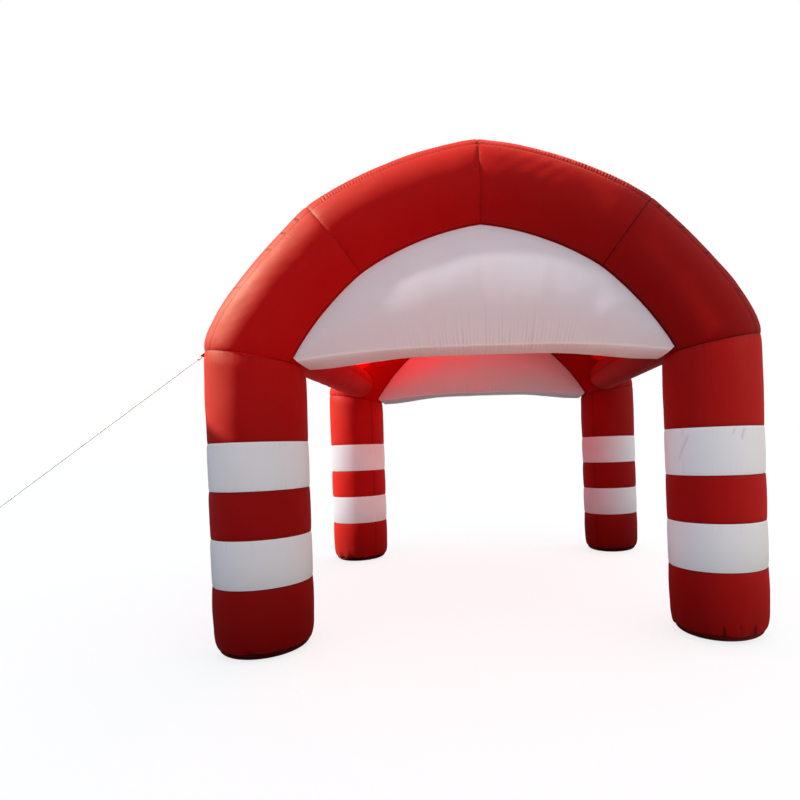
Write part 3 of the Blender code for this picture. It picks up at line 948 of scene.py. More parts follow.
@dataclass
class Leg:
    """One banded leg: base disc, foot panel, three bands and the panel below the shoulder."""

    end: End
    side: Side
    detail: float = 1.0
    creases: dict[str, tuple[Crease, ...]] = field(default_factory=dict)

    columns_round: int = 200
    row_spacing: float = 0.017
    base_flat: float = 0.250
    base_seam: float = 0.352
    base_seam_height: float = 0.062
    foot_round: float = 0.210
    foot_curve_rows: int = 26
    base_curve_rows: int = 12
    base_flat_rows: int = 8
    base_inside: float = 0.2  # the height of the points that the base disc swells away from
    base_middle: float = 0.002  # the radius of the gathered point in the middle of the base disc
    band_swell: float = 0.004
    top_length: float = 0.69
    shoulder_pinch: float = 0.03  # how much shallower the leg is at the shoulder seam

    def __post_init__(self) -> None:
        """Places the leg and the angles round it, from its closing seam at the inner corner."""
        self.name = f"leg_{self.end.name.lower()}_{self.side.name.lower()}"
        self.axis = np.array([self.side.value * SIZES.leg_x, self.end.value * SIZES.arch_y])
        self.turn = np.linspace(0, TAU, int(self.columns_round * self.detail))
        self.angle = math.atan2(-self.end.value, -self.side.value) + self.turn
        self.seed = 11 + 7 * (self.end is End.REAR) + 3 * (self.side is Side.RIGHT)

    def _around(self, radius: Array, height: Array, depth_share: Array | float = 1.0) -> Array:
        """Points round the leg's axis, from a radius and a height for each.

        Args:
            radius: Distances from the leg's axis.
            height: Heights.
            depth_share: The depth as a share of the width.

        Returns:
            The points.
        """
        x = self.axis[0] + radius * np.cos(self.angle)
        y = self.axis[1] + radius * depth_share * np.sin(self.angle)
        return np.stack(np.broadcast_arrays(x, y, height), axis=-1)

    def _panel(
        self,
        points: Array,
        run: Array,
        seams: tuple[Seam | None, Seam | None],
        creases: tuple[Crease, ...] = (),
    ) -> Panel:
        """A panel that runs up from one seam to the next.

        Args:
            points: Its grid, bottom row first.
            run: How far each row, or each point, is from the lower seam along the cloth.
            seams: The looks of its lower and upper seams; None is no seam.
            creases: Its folds.

        Returns:
            The panel.
        """
        run = np.broadcast_to(run, points.shape[:2])
        along = np.broadcast_to(self.turn * SIZES.tube_radius, points.shape[:2])
        inside = points.copy()
        inside[..., 0], inside[..., 1] = self.axis
        distances = (run, run[-1:] - run)
        edges = [SewnEdge(seam, along, away) for seam, away in zip(seams, distances) if seam]
        closing = Seam(self.seed + 60, draw_in=0.003, pucker=0.0008)
        nearest = np.minimum(along, TAU * SIZES.tube_radius - along)
        edges.append(SewnEdge(closing, run, nearest))
        cloth = np.stack((along, run), axis=-1)
        return Panel(points, inside, cloth, edges, creases, self.seed)

    def _rows(self, length: float) -> int:
        """How many rows a panel of this length takes."""
        return max(8, int(length / self.row_spacing * self.detail))

    def _band_seam(self, number: int) -> Seam:
        """The flat seam between two bands.

        Args:
            number: The seam's own number, so that no two pucker alike.

        Returns:
            The seam.
        """
        return Seam(self.seed + number, draw_in=0.0035, draw_reach=0.012, pucker=0.0010, pitch=0.045)

    def _swollen(self, share: Array) -> Array:
        """The radius at shares of a band's height, swollen a little between its seams."""
        return SIZES.tube_radius + self.band_swell * np.sin(math.pi * share)

    def band(self, low: float, high: float, number: int, creases: tuple[Crease, ...]) -> Panel:
        """A straight band between two level seams.

        Args:
            low: The height of its lower seam.
            high: The height of its upper seam.
            number: Its seams' own number.
            creases: Its folds.

        Returns:
            The panel.
        """
        share = np.linspace(0, 1, self._rows(high - low))[:, None]
        points = self._around(self._swollen(share), low + (high - low) * share)
        seam = self._band_seam(number)
        return self._panel(points, share * (high - low), (seam, seam), creases)

    @staticmethod
    def _quarter(
        start: tuple[float, float], end: tuple[float, float], count: int
    ) -> tuple[Array, Array]:
        """Radii and heights down a quarter ellipse, from the vertical side to its end.

        Args:
            start: The radius and height of its start.
            end: The radius and height of its end.
            count: How many points it has.

        Returns:
            The radii and the heights.
        """
        a = np.linspace(0, math.pi / 2, count)
        across = end[0] + (start[0] - end[0]) * np.cos(a)
        return across, start[1] - (start[1] - end[1]) * np.sin(a)

    def _turned(self, radius: Array, height: Array) -> tuple[Array, Array]:
        """A profile turned about the leg's axis, and how far along it each row is."""
        run = run_along(np.column_stack((radius, height)))[:, None]
        return self._around(radius[:, None], height[:, None]), run

    def foot(self) -> Panel:
        """The lowest red panel, rounded in to the puckered base seam.

        Returns:
            The panel.
        """
        top = SIZES.band_foot
        low = (self.base_seam, self.base_seam_height)
        curve = self._quarter((SIZES.tube_radius, self.foot_round), low, self.foot_curve_rows)
        straight = np.linspace(top, self.foot_round, self._rows(top - self.foot_round))[:-1]
        side = self._swollen((top - straight) / (top - self.foot_round))
        radius = np.concatenate((side, curve[0]))[::-1]
        height = np.concatenate((straight, curve[1]))[::-1]
        points, run = self._turned(radius, height)
        base = Seam(
            self.seed + 20, draw_in=0.006, draw_reach=0.010, pucker=0.0100, pitch=0.150, reach=0.085
        )
        return self._panel(points, run, (base, self._band_seam(21)), self.creases.get("foot_panel", ()))

    def base(self) -> Panel:
        """The base disc, from its flat middle out and up to the puckered seam.

        Returns:
            The panel.
        """
        start, end = (self.base_seam, self.base_seam_height), (self.base_flat, 0.0)
        curve = self._quarter(start, end, self.base_curve_rows)
        flat = np.linspace(self.base_flat, self.base_middle, self.base_flat_rows + 1)[1:]
        radius = np.concatenate((curve[0], flat))
        height = np.concatenate((curve[1], np.zeros(len(flat))))
        points, run = self._turned(radius, height)
        seam = Seam(
            self.seed + 22, draw_in=0.004, draw_reach=0.008, pucker=0.0035, pitch=0.060, reach=0.03
        )
        panel = self._panel(points, run, (seam, None))
        panel.inside[..., 2] = self.base_inside
        panel.unevenness = 0.0
        return panel

    def top(self) -> Panel:
        """The panel from the upper white band to the slanted shoulder seam.

        Returns:
            The panel.
        """
        low = SIZES.band_levels()[-1]
        outward = np.cos(self.angle) * self.side.value
        seam_height = SIZES.shoulder_height + math.tan(SIZES.shoulder_tilt) * SIZES.tube_radius * outward
        share = np.linspace(0, 1, self._rows(self.top_length))[:, None]
        depth = 1 - self.shoulder_pinch * smooth_step(share, 0.84, 1.0)
        run = (seam_height - low) * share
        points = self._around(self._swollen(share), low + run, depth)
        shoulder = Seam(
            self.seed + 24, draw_in=0.007, draw_reach=0.022, pucker=0.0028, pitch=0.055, reach=0.07
        )
        return self._panel(points, run, (self._band_seam(23), shoulder))

    def build(self, maker: PieceMaker, finishes: Finishes) -> None:
        """Makes and dresses the leg's six pieces.

        Args:
            maker: Makes the pieces.
            finishes: The materials.
        """
        levels = SIZES.band_levels()
        pieces = {"base_disc": self.base(), "foot_panel": self.foot(), "top_panel": self.top()}
        names = ("lower_white_band", "middle_panel", "upper_white_band")
        for k, part in enumerate(names):
            pieces[part] = self.band(levels[k], levels[k + 1], 30 + k, self.creases.get(part, ()))
        for part, panel in pieces.items():
            white = "white" in part
            finish, slot = (finishes.white, Slot.WHITE) if white else (finishes.red, Slot.RED)
            # the base disc takes the darkened copy of the red cloth, as painted shade
            if part == "base_disc":
                finish = finishes.base
            node = f"{self.name}_{part}"
            maker.inflated(f"{node}_cloth", [panel], finish, node)


@dataclass
class Arch:
    """One arch of tube: two haunches and two crowns, each with its gathered outer strip."""

    end: End
    detail: float = 1.0
    form: ArchForm = field(default_factory=ArchForm)

    strip_spacing: float = 0.0042
    body_spacing: float = 0.0070
    strip_lines: int = 34
    body_lines: int = 100
    beside_gable: tuple[float, ...] = (-2.6, -1.3, -0.5, 0.0, 0.5, 1.3, 2.6)  # lines by its seam, degrees
    gable_seam_width: float = 2.2  # how much wider than the others the seam beside the gable is
    crease_places: dict[Side, tuple[float, ...]] = field(
        default_factory=lambda: {
            Side.LEFT: (0.075, 0.165, 0.275, 0.56),
            Side.RIGHT: (0.06, 0.12, 0.21, 0.40, 0.72),
        }
    )  # how far below the mitre the haunch's strip is folded
    crease_span: tuple[float, float] = (0.20, 0.355)  # from the strip's middle line
    crease_slant: tuple[float, float] = (0.014, 0.004)  # of the first fold, and more for each after it
    crease_size: tuple[float, float] = (0.0034, 0.008)  # depth and width

    @staticmethod
    def gable_angles() -> tuple[float, float]:
        """The angles round the tube at which the gable's two faces are sewn to it."""
        return 180 - SIZES.gable_angle, 180 + SIZES.gable_angle

    def _columns(self, segment: TubeSegment, spacing: float) -> Array:
        """Shares along a segment, close enough together for the gathers."""
        return np.linspace(0, 1, int(segment.length() / spacing * self.detail))

    def _gathers(self, part: str, side: Side, t: Array) -> tuple[Array, Array]:
        """How strongly the strip and the tube beside it are gathered, along a segment.

        Args:
            part: Haunch or crown.
            side: The half of the arch.
            t: Shares along the segment.

        Returns:
            The strengths of the strip's pleats and of the tube's puckers.
        """
        if part == "haunch":
            near_mitre = smooth_step(t, 0.70, 0.86) * (1 - smooth_step(t, 0.95, 1.0))
            return 0.04 + 0.10 * near_mitre, 0.15 + 0.2 * near_mitre
        if side is Side.LEFT:
            middle = smooth_step(t, 0.20, 0.36) * (1 - smooth_step(t, 0.52, 0.70))
            pleats = smooth_step(t, 0.02, 0.10) * (1.0 - 0.45 * smooth_step(t, 0.35, 0.6))
            return pleats, 0.20 + 1.0 * middle
        return 0.50 - 0.20 * smooth_step(t, 0.4, 0.8), 0.20 + 0.4 * smooth_step(t, 0.6, 0.9)

    def _strip_creases(self, part: str, side: Side, length: float) -> tuple[Crease, ...]:
        """The separate folds across the strip of the haunch, most of them near the mitre.

        Args:
            part: Haunch or crown.
            side: The half of the arch.
            length: The length of the strip's middle line.

        Returns:
            The folds.
        """
        if part == "crown":
            return ()
        folds = []
        near, far = self.crease_span
        for k, place in enumerate(self.crease_places[side]):
            slant = self.crease_slant[0] + self.crease_slant[1] * k
            for hand in (-1, 1):
                inner, outer = (hand * near, length - place), (hand * far, length - place + slant)
                folds.append(Crease(inner, outer, *self.crease_size))
        return tuple(folds)

    def _tube_panel(
        self, segment: TubeSegment, part: str, side: Side, angles: Array, is_strip: bool
    ) -> Panel:
        """A grid over one segment, with seams at its two mitres and its two long edges.

        Args:
            segment: The length of tube.
            part: Haunch or crown.
            side: The half of the arch.
            angles: The angles of the grid's lines round the tube.
            is_strip: Whether it is the outer strip, and not the tube's own cloth.

        Returns:
            The panel.
        """
        t = self._columns(segment, self.strip_spacing if is_strip else self.body_spacing)[:, None]
        grid = segment.surface(t, angles[None, :])
        middle = np.broadcast_to(segment.middle(t), grid.shape).copy()
        step = np.linalg.norm(np.diff(grid, axis=0), axis=-1)
        run = np.concatenate((np.zeros((1, grid.shape[1])), np.cumsum(step, axis=0)))
        long_run = np.broadcast_to(t * segment.length(), run.shape)
        across = np.broadcast_to(np.radians(angles[None, :]) * SIZES.tube_radius, run.shape)
        first, last = across[:, :1], across[:, -1:]
        seed = 101 + 13 * (part == "crown") + 5 * (side is Side.RIGHT) + 29 * (self.end is End.REAR)
        strip_pleats, body_puckers = self._gathers(part, side, t)
        mitre = Seam(seed, draw_in=0.007, draw_reach=0.016, pucker=0.0022, pitch=0.060, reach=0.050)
        if is_strip:
            long_seam = Seam(
                seed + 3,
                draw_in=0.004,
                draw_reach=0.008,
                pucker=-0.0080,
                pitch=0.0225,
                reach=0.26,
                narrowness=2.2,
                wander=0.9,
                patchiness=0.22,
            )
            strength, mitre_strength, full_fold = strip_pleats, 0.4, 0.0022
            creases = self._strip_creases(part, side, segment.length())
        else:
            long_seam = Seam(
                seed + 3, draw_in=0.005, draw_reach=0.010, pucker=0.0036, pitch=0.026, reach=0.085
            )
            strength, mitre_strength, full_fold = body_puckers, 1.0, 0.0030
            creases = ()
        edges = [
            SewnEdge(mitre, across, run, mitre_strength),
            SewnEdge(mitre, across, run[-1:] - run, mitre_strength),
            SewnEdge(long_seam, long_run, across - first, strength),
            SewnEdge(long_seam, long_run, last - across, strength),
        ]
        if not is_strip:
            gable_seam = Seam(
                seed + 7, draw_in=0.006, draw_reach=0.010, pucker=0.0012, pitch=0.030, reach=0.03
            )
            for angle in self.gable_angles():
                aside = np.abs(across - math.radians(angle) * SIZES.tube_radius) / self.gable_seam_width
                edges.append(SewnEdge(gable_seam, long_run, aside))
        cloth = np.stack((across, long_run), axis=-1)
        points = turned_about(grid, side, self.end)
        inside = turned_about(middle, side, self.end)
        return Panel(points, inside, cloth, edges, creases, seed, unevenness=0.0030, full_fold=full_fold)

    def build(self, maker: PieceMaker, finishes: Finishes) -> None:
        """Makes and dresses the arch's eight pieces.

        Args:
            maker: Makes the pieces.
            finishes: The materials.
        """
        half = SIZES.strip_angle
        strip_angles = np.linspace(-half, half, int(self.strip_lines * self.detail))
        even = np.linspace(0, 1, int(self.body_lines * self.detail))
        eased = even - 0.40 * np.sin(TAU * even) / TAU  # finer beside the strip's seams
        beside = [angle + aside for angle in self.gable_angles() for aside in self.beside_gable]
        body_angles = np.unique(np.concatenate((half + (360 - 2 * half) * eased, beside)))
        for part, segment in (("haunch", self.form.haunch()), ("crown", self.form.crown())):
            for side in Side:
                node = f"arch_{self.end.name.lower()}_{part}_{side.name.lower()}"
                body = self._tube_panel(segment, part, side, body_angles, False)
                strip = self._tube_panel(segment, part, side, strip_angles, True)
                maker.inflated(f"{node}_cloth", [body], finishes.red, node)
                strip_node = f"{node}_outer_strip"
                maker.inflated(f"{strip_node}_cloth", [strip], finishes.red, strip_node)


@dataclass
class Gable:
    """The white pillow that fills an arch, and the panel that closes it below."""

    end: End
    detail: float = 1.0
    form: ArchForm = field(default_factory=ArchForm)

    corner_drop: float = 0.020
    corner_inset: float = 0.020
    turn_start: float = 0.8
    bottom_rise: float = 0.072
    half_thickness: float = 0.200
    swell: float = 0.130
    swell_span: float = 0.85
    sag_middle: float = 0.030
    sag_corner: float = 0.068
    sag_reach: tuple[float, float] = (0.35, 0.85)  # where the sag grows, as shares of the half width
    corner_start: float = 0.05  # the share of the haunch's length at which the pillow's corner begins
    haunch_columns: int = 110
    crown_columns: int = 230
    face_rows: int = 38
    underside_rows: int = 26
    gather_middle: float = 0.10  # where along X the bottom seams are gathered most
    apex_reach: float = 0.085  # how far from the apex its own gathers reach

    def __post_init__(self) -> None:
        """Works out the columns from the left corner over the apex to the right corner."""
        haunch, crown = self.form.haunch(), self.form.crown()
        lead = np.linspace(self.corner_start, 1, int(self.haunch_columns * self.detail))[:-1]
        follow = np.linspace(0, 1, int(self.crown_columns * self.detail))
        sewn_angle = 180 - SIZES.gable_angle
        sewn = np.vstack((haunch.surface(lead, sewn_angle), crown.surface(follow, sewn_angle)))
        run = run_along(sewn)
        share = 1 - run / run[-1]
        corner = sewn[0] - np.array([self.corner_inset, 0, self.corner_drop])
        bottom = np.zeros_like(sewn)
        bottom[:, 0] = corner[0] * share
        bottom[:, 2] = corner[2] + self.bottom_rise * (1 - share**3)
        half = self.half_thickness + (-sewn[0, 1] - self.half_thickness) * share**4
        turn = np.maximum(0, share - self.turn_start) / (1 - self.turn_start)
        down = np.stack((-turn, np.zeros_like(turn), -np.ones_like(turn)), axis=-1)
        down /= np.linalg.norm(down, axis=1, keepdims=True)
        self.sewn, self.bottom = self._both(sewn), self._both(bottom)
        self.down = self._both(down)
        self.share = np.concatenate((share, share[-2::-1]))
        self.half = np.concatenate((half, half[-2::-1]))
        self.cap_ring = haunch.surface(self.corner_start, np.linspace(sewn_angle, 360 - sewn_angle, 20))
        self.seed = 301 + 40 * (self.end is End.REAR)

    @staticmethod
    def _both(points: Array) -> Array:
        """A right-hand line from its corner to the apex, and on to its mirror image."""
        other = points[-2::-1] * np.array([-1, 1, 1])
        return np.vstack((points, other))

    def _bottom_seam(self, draw_in: float, pucker: float) -> Seam:
        """The gathered seam between a face and the underside.

        Args:
            draw_in: How far the cloth is drawn in at the seam.
            pucker: The height of its gathers.

        Returns:
            The seam.
        """
        return Seam(
            self.seed,
            draw_in,
            draw_reach=0.004,
            pucker=pucker,
            pitch=0.031,
            reach=0.12,
            narrowness=2.6,
            wander=1.4,
            patchiness=0.35,
        )

    def _gathered(self, x: Array, reach: float) -> Array:
        """How strongly the bottom seams are gathered, for each X."""
        return np.exp(-(((x - self.gather_middle) / reach) ** 4))

    def face(self, facing: int) -> Panel:
        """The front (-1) or back (1) face of the pillow, bottom row first.

        Args:
            facing: Which face.

        Returns:
            The panel.
        """
        v = (np.linspace(0, 1, int(self.face_rows * self.detail)) ** 1.25)[:, None]
        low = self.bottom.copy()
        low[:, 1] = facing * self.half
        high = self.sewn.copy()
        high[:, 1] = facing * np.abs(self.sewn[:, 1])
        height = np.linalg.norm(high - low, axis=1)
        points = low[None] + (high - low)[None] * v[..., None]
        swell = self.swell * np.minimum(1, height / self.swell_span) ** 1.2
        points[..., 1] += facing * swell * np.sin(math.pi * v)
        inside = points.copy()
        inside[..., 1] = 0
        along = np.broadcast_to(run_along(self.bottom), points.shape[:2])
        run = v * height
        x = points[..., 0]
        apex = np.exp(-((x / self.apex_reach) ** 2))
        high_seam = Seam(
            self.seed + 4, draw_in=0.010, draw_reach=0.018, pucker=0.0022, pitch=0.030, reach=0.06
        )
        edges = [
            SewnEdge(self._bottom_seam(-0.0015, 0.0070), along, run, 0.10 + self._gathered(x, 0.62)),
            SewnEdge(high_seam, along, height - run, 0.25 + 1.2 * apex),
        ]
        cloth = np.stack((along, run), axis=-1)
        panel = Panel(points, inside, cloth, edges, (), self.seed + (facing > 0), 0.0035)
        return self._moved(panel)

    def cap(self, side: Side) -> Panel:
        """The small piece at a corner, from the tube down to the underside's end.

        Args:
            side: Which corner.

        Returns:
            The panel.
        """
        ring = self.cap_ring * np.array([side.value, 1, 1])
        turn = np.linspace(-math.pi / 2, math.pi / 2, len(ring))
        end = self._underside_points(turn)[:, 0] * np.array([side.value, 1, 1])
        share = np.linspace(0, 1, 12)[:, None, None]
        points = end[None] + (ring - end)[None] * share
        inside = points - np.array([side.value * 0.3, 0, -0.05])
        cloth = np.stack((points[..., 1], points[..., 2]), axis=-1)
        return self._moved(Panel(points, inside, cloth, [], (), self.seed, 0.0))

    def _underside_points(self, turn: Array) -> Array:
        """The underside's shape: half an ellipse, -90 to 90 degrees, below each column's seams.

        Args:
            turn: The angles, in radians.

        Returns:
            A row of points for each angle.
        """
        growth = smooth_step(self.share, *self.sag_reach)
        depth = self.sag_middle + (self.sag_corner - self.sag_middle) * growth
        points = self.bottom[None] + self.down[None] * (depth[None, :] * np.cos(turn)[:, None])[..., None]
        points[..., 1] = self.half[None] * np.sin(turn)[:, None]
        return points

    def underside(self) -> Panel:
        """The panel between the two bottom seams, which sags a little.

        Returns:
            The panel.
        """
        turn = np.linspace(-math.pi / 2, math.pi / 2, int(self.underside_rows * self.detail) + 2)
        points = self._underside_points(turn)
        inside = points - self.down[None] * 0.3
        along = np.broadcast_to(run_along(self.bottom), points.shape[:2])
        width = self.half[None] * (np.sin(turn)[:, None] + 1)
        seam = self._bottom_seam(-0.001, 0.0060)
        gathered = 0.20 + 0.80 * self._gathered(points[..., 0], 0.75)
        edges = [
            SewnEdge(seam, along, width, gathered),
            SewnEdge(seam, along, 2 * self.half[None] - width, gathered),
        ]
        cloth = np.stack((along, width), axis=-1)
        return self._moved(Panel(points, inside, cloth, edges, (), self.seed + 9, 0.0020))

    def _moved(self, panel: Panel) -> Panel:
        """Brings a panel from the arch's plane to its arch.

        Args:
            panel: The panel, which is changed.

        Returns:
            The same panel.
        """
        shift = np.array([0, self.end.value * SIZES.arch_y, 0])
        panel.points = panel.points + shift
        panel.inside = panel.inside + shift
        return panel

    def build(self, maker: PieceMaker, finishes: Finishes) -> None:
        """Makes and dresses the pillow and its underside.

        Args:
            maker: Makes the pieces.
            finishes: The materials.
        """
        name = f"gable_{self.end.name.lower()}"
        faces = [self.face(-1), self.face(1), self.cap(Side.LEFT), self.cap(Side.RIGHT)]
        maker.inflated(f"{name}_pillow_cloth", faces, finishes.gable, f"{name}_pillow")
        below = [self.underside()]
        maker.inflated(f"{name}_underside_cloth", below, finishes.gable, f"{name}_underside")


@dataclass
class SideBeam:
    """A red tube between the two arches, drawn in where it is sewn to them."""

    side: Side
    x: float = 1.750
    height: float = 2.570
    radius: float = 0.205
    end_radius: float = 0.165
    end_taper: float = 0.260
    columns: int = 96
    rows: int = 170

    def _seam_at(self, tube: BVHTree, angle: float, toward: End) -> float:
        """Where the beam's cloth meets an arch, at one angle round the beam.

        Args:
            tube: The arch's solid.
            angle: The angle, in radians.
            toward: Which arch.

        Returns:
            The distance from the beam's middle.
        """
        x = self.side.value * self.x + self.end_radius * math.cos(angle)
        z = self.height + self.end_radius * math.sin(angle)
        start = Vector((x, 0, z))
        hit = tube.ray_cast(start, Vector((0, toward.value, 0)))[0]
        return abs(hit.y) if hit else SIZES.arch_y - 0.15

    def _end_seam(self, angle: Array, end: End) -> Array:
        """How far from the middle the beam meets one arch, at each angle round the beam.

        Args:
            angle: The angles, in radians.
            end: Which arch.

        Returns:
            The distance at each angle.
        """
        node = f"arch_{end.name.lower()}_haunch_{self.side.name.lower()}"
        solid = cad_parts[node].data
        corners = [corner.co for corner in solid.vertices]
        tube = BVHTree.FromPolygons(corners, [tuple(face.vertices) for face in solid.polygons])
        return np.array([self._seam_at(tube, a, end) for a in angle])

    def panel(self) -> Panel:
        """The beam's cloth, from the front arch to the rear one.

        Returns:
            The panel.
        """
        turn = np.linspace(0, TAU, self.columns)
        start = math.pi if self.side is Side.RIGHT else 0.0
        angle = start + turn
        front, rear = (self._end_seam(angle, end) for end in End)
        share = np.linspace(0, 1, self.rows)[:, None]
        eased = share - 0.6 * np.sin(TAU * share) / TAU  # finer beside the end seams
        y = -front + (front + rear) * eased
        taper_end = SIZES.arch_y - SIZES.tube_radius
        into = np.clip((np.abs(y) - (taper_end - self.end_taper)) / self.end_taper, 0, 1)
        radius = self.end_radius + (self.radius - self.end_radius) * np.sqrt(1 - into**2)
        x = self.side.value * self.x + radius * np.cos(angle)
        z = self.height + radius * np.sin(angle)
        points = np.stack((x, y, z), axis=-1)
        inside = points.copy()
        inside[..., 0], inside[..., 2] = self.side.value * self.x, self.height
        along = np.broadcast_to(turn * self.radius, y.shape)
        seed = 501 + 9 * (self.side is Side.RIGHT)
        seam = Seam(seed, draw_in=0.006, draw_reach=0.020, pucker=0.0040, pitch=0.046, reach=0.08)
        closing = Seam(seed + 5, draw_in=0.003, pucker=0.0006)
        nearest = np.minimum(along, TAU * self.radius - along)
        edges = [
            SewnEdge(seam, along, y - y[:1]),
            SewnEdge(seam, along, y[-1:] - y),
            SewnEdge(closing, y, nearest),
        ]
        return Panel(points, inside, np.stack((along, y), axis=-1), edges, (), seed, 0.0022)

    def build(self, maker: PieceMaker, finishes: Finishes) -> None:
        """Makes and dresses the beam."""
        node = f"side_beam_{self.side.name.lower()}"
        maker.inflated(f"{node}_cloth", [self.panel()], finishes.red, node)


@dataclass
class Roof:
    """The single sheet between the arches and the side beams."""

    form: ArchForm = field(default_factory=ArchForm)
    beam: SideBeam = field(default_factory=lambda: SideBeam(Side.RIGHT))
    thickness: float = 0.002
    gap: float = 0.0003  # between the sheet and the beam that it lies on
    sag: float = 0.090
    edge_clearance: float = 0.0005
    above_beam: float = 0.060  # how far above the beam's top the sheet meets the tubes
    haunch_points: int = 22
    crown_points: int = 34
    rows: int = 76
    columns_half: int = 66

    def _middle_line(self) -> tuple[Array, Array]:
        """The tubes' middle line from the right beam to the ridge, and their half depth along it.

        Returns:
            The points, and the half depth at each.
        """
        haunch, crown = self.form.haunch(), self.form.crown()
        beam_top = self.beam.height + self.beam.radius + self.gap + self.thickness / 2
        fine = np.linspace(0, 1, 400)
        start = fine[np.argmax(haunch.middle(fine)[:, 2] > beam_top + self.above_beam)]
        t_haunch = np.linspace(start, 1, self.haunch_points)
        t_crown = np.linspace(0, 1, self.crown_points)[1:]
        middle = np.vstack(([self.beam.x, 0, beam_top], haunch.middle(t_haunch), crown.middle(t_crown)))
        at_beam = [haunch.depth(np.array(0.0))]
        return middle, np.concatenate((at_beam, haunch.depth(t_haunch), crown.depth(t_crown)))

    def panel(self) -> Panel:
        """The sheet, from the left beam over the ridge to the right beam.

        Returns:
            The panel.
        """
        middle, depth = self._middle_line()
        run = run_along(middle)
        even = np.linspace(0, run[-1], self.columns_half)
        line = np.stack([np.interp(even, run, middle[:, k]) for k in range(3)], axis=-1)
        reach = SIZES.arch_y - np.interp(even, run, depth) - self.edge_clearance
        full = np.vstack((line, line[-2::-1] * np.array([-1, 1, 1])))
        reach = np.concatenate((reach, reach[-2::-1]))
        along = np.concatenate((even, 2 * even[-1] - even[-2::-1]))
        share = np.sin(math.pi / 2 * np.minimum(along, along[::-1]) / even[-1])
        v = np.linspace(-1, 1, self.rows)[:, None]
        out = np.gradient(full, axis=0)
        out = np.stack((-out[:, 2], np.zeros(len(out)), out[:, 0]), axis=-1)
        out /= -np.linalg.norm(out, axis=1, keepdims=True)
        points = np.broadcast_to(full[None], (self.rows, len(full), 3)).copy()
        points[..., 1] = reach[None] * v
        points -= out[None] * (self.sag * share[None] * (1 - v**2))[..., None]
        inside = points - np.array([0, 0, 1.0])
        width = reach[None] * (v + 1)
        along_grid = np.broadcast_to(along, points.shape[:2])
        edge = Seam(701, draw_in=0.0, pucker=0.0045, pitch=0.075, reach=0.16)
        beam = Seam(709, draw_in=0.0, pucker=0.0050, pitch=0.090, reach=0.20)
        edges = [
            SewnEdge(edge, along_grid, width),
            SewnEdge(edge, along_grid, 2 * reach[None] - width),
            SewnEdge(beam, points[..., 1], along_grid),
            SewnEdge(beam, points[..., 1], along_grid[:, -1:] - along_grid),
        ]
        self.flat = (float(2 * reach.mean()), float(along[-1]))
        return Panel(points, inside, np.stack((along_grid, width), axis=-1), edges, (), 711, 0.006)

    def build(self, maker: PieceMaker, finishes: Finishes) -> None:
        """Args:
            maker: Makes the pieces.
            finishes: The materials.
        """
        sheet = maker.from_panels("roof_panel_cloth", [self.panel()], finishes.roof, "roof_panel")
        thicken = sheet.modifiers.new("thickness", "SOLIDIFY")
        thicken.thickness = self.thickness
        thicken.offset = 0.0


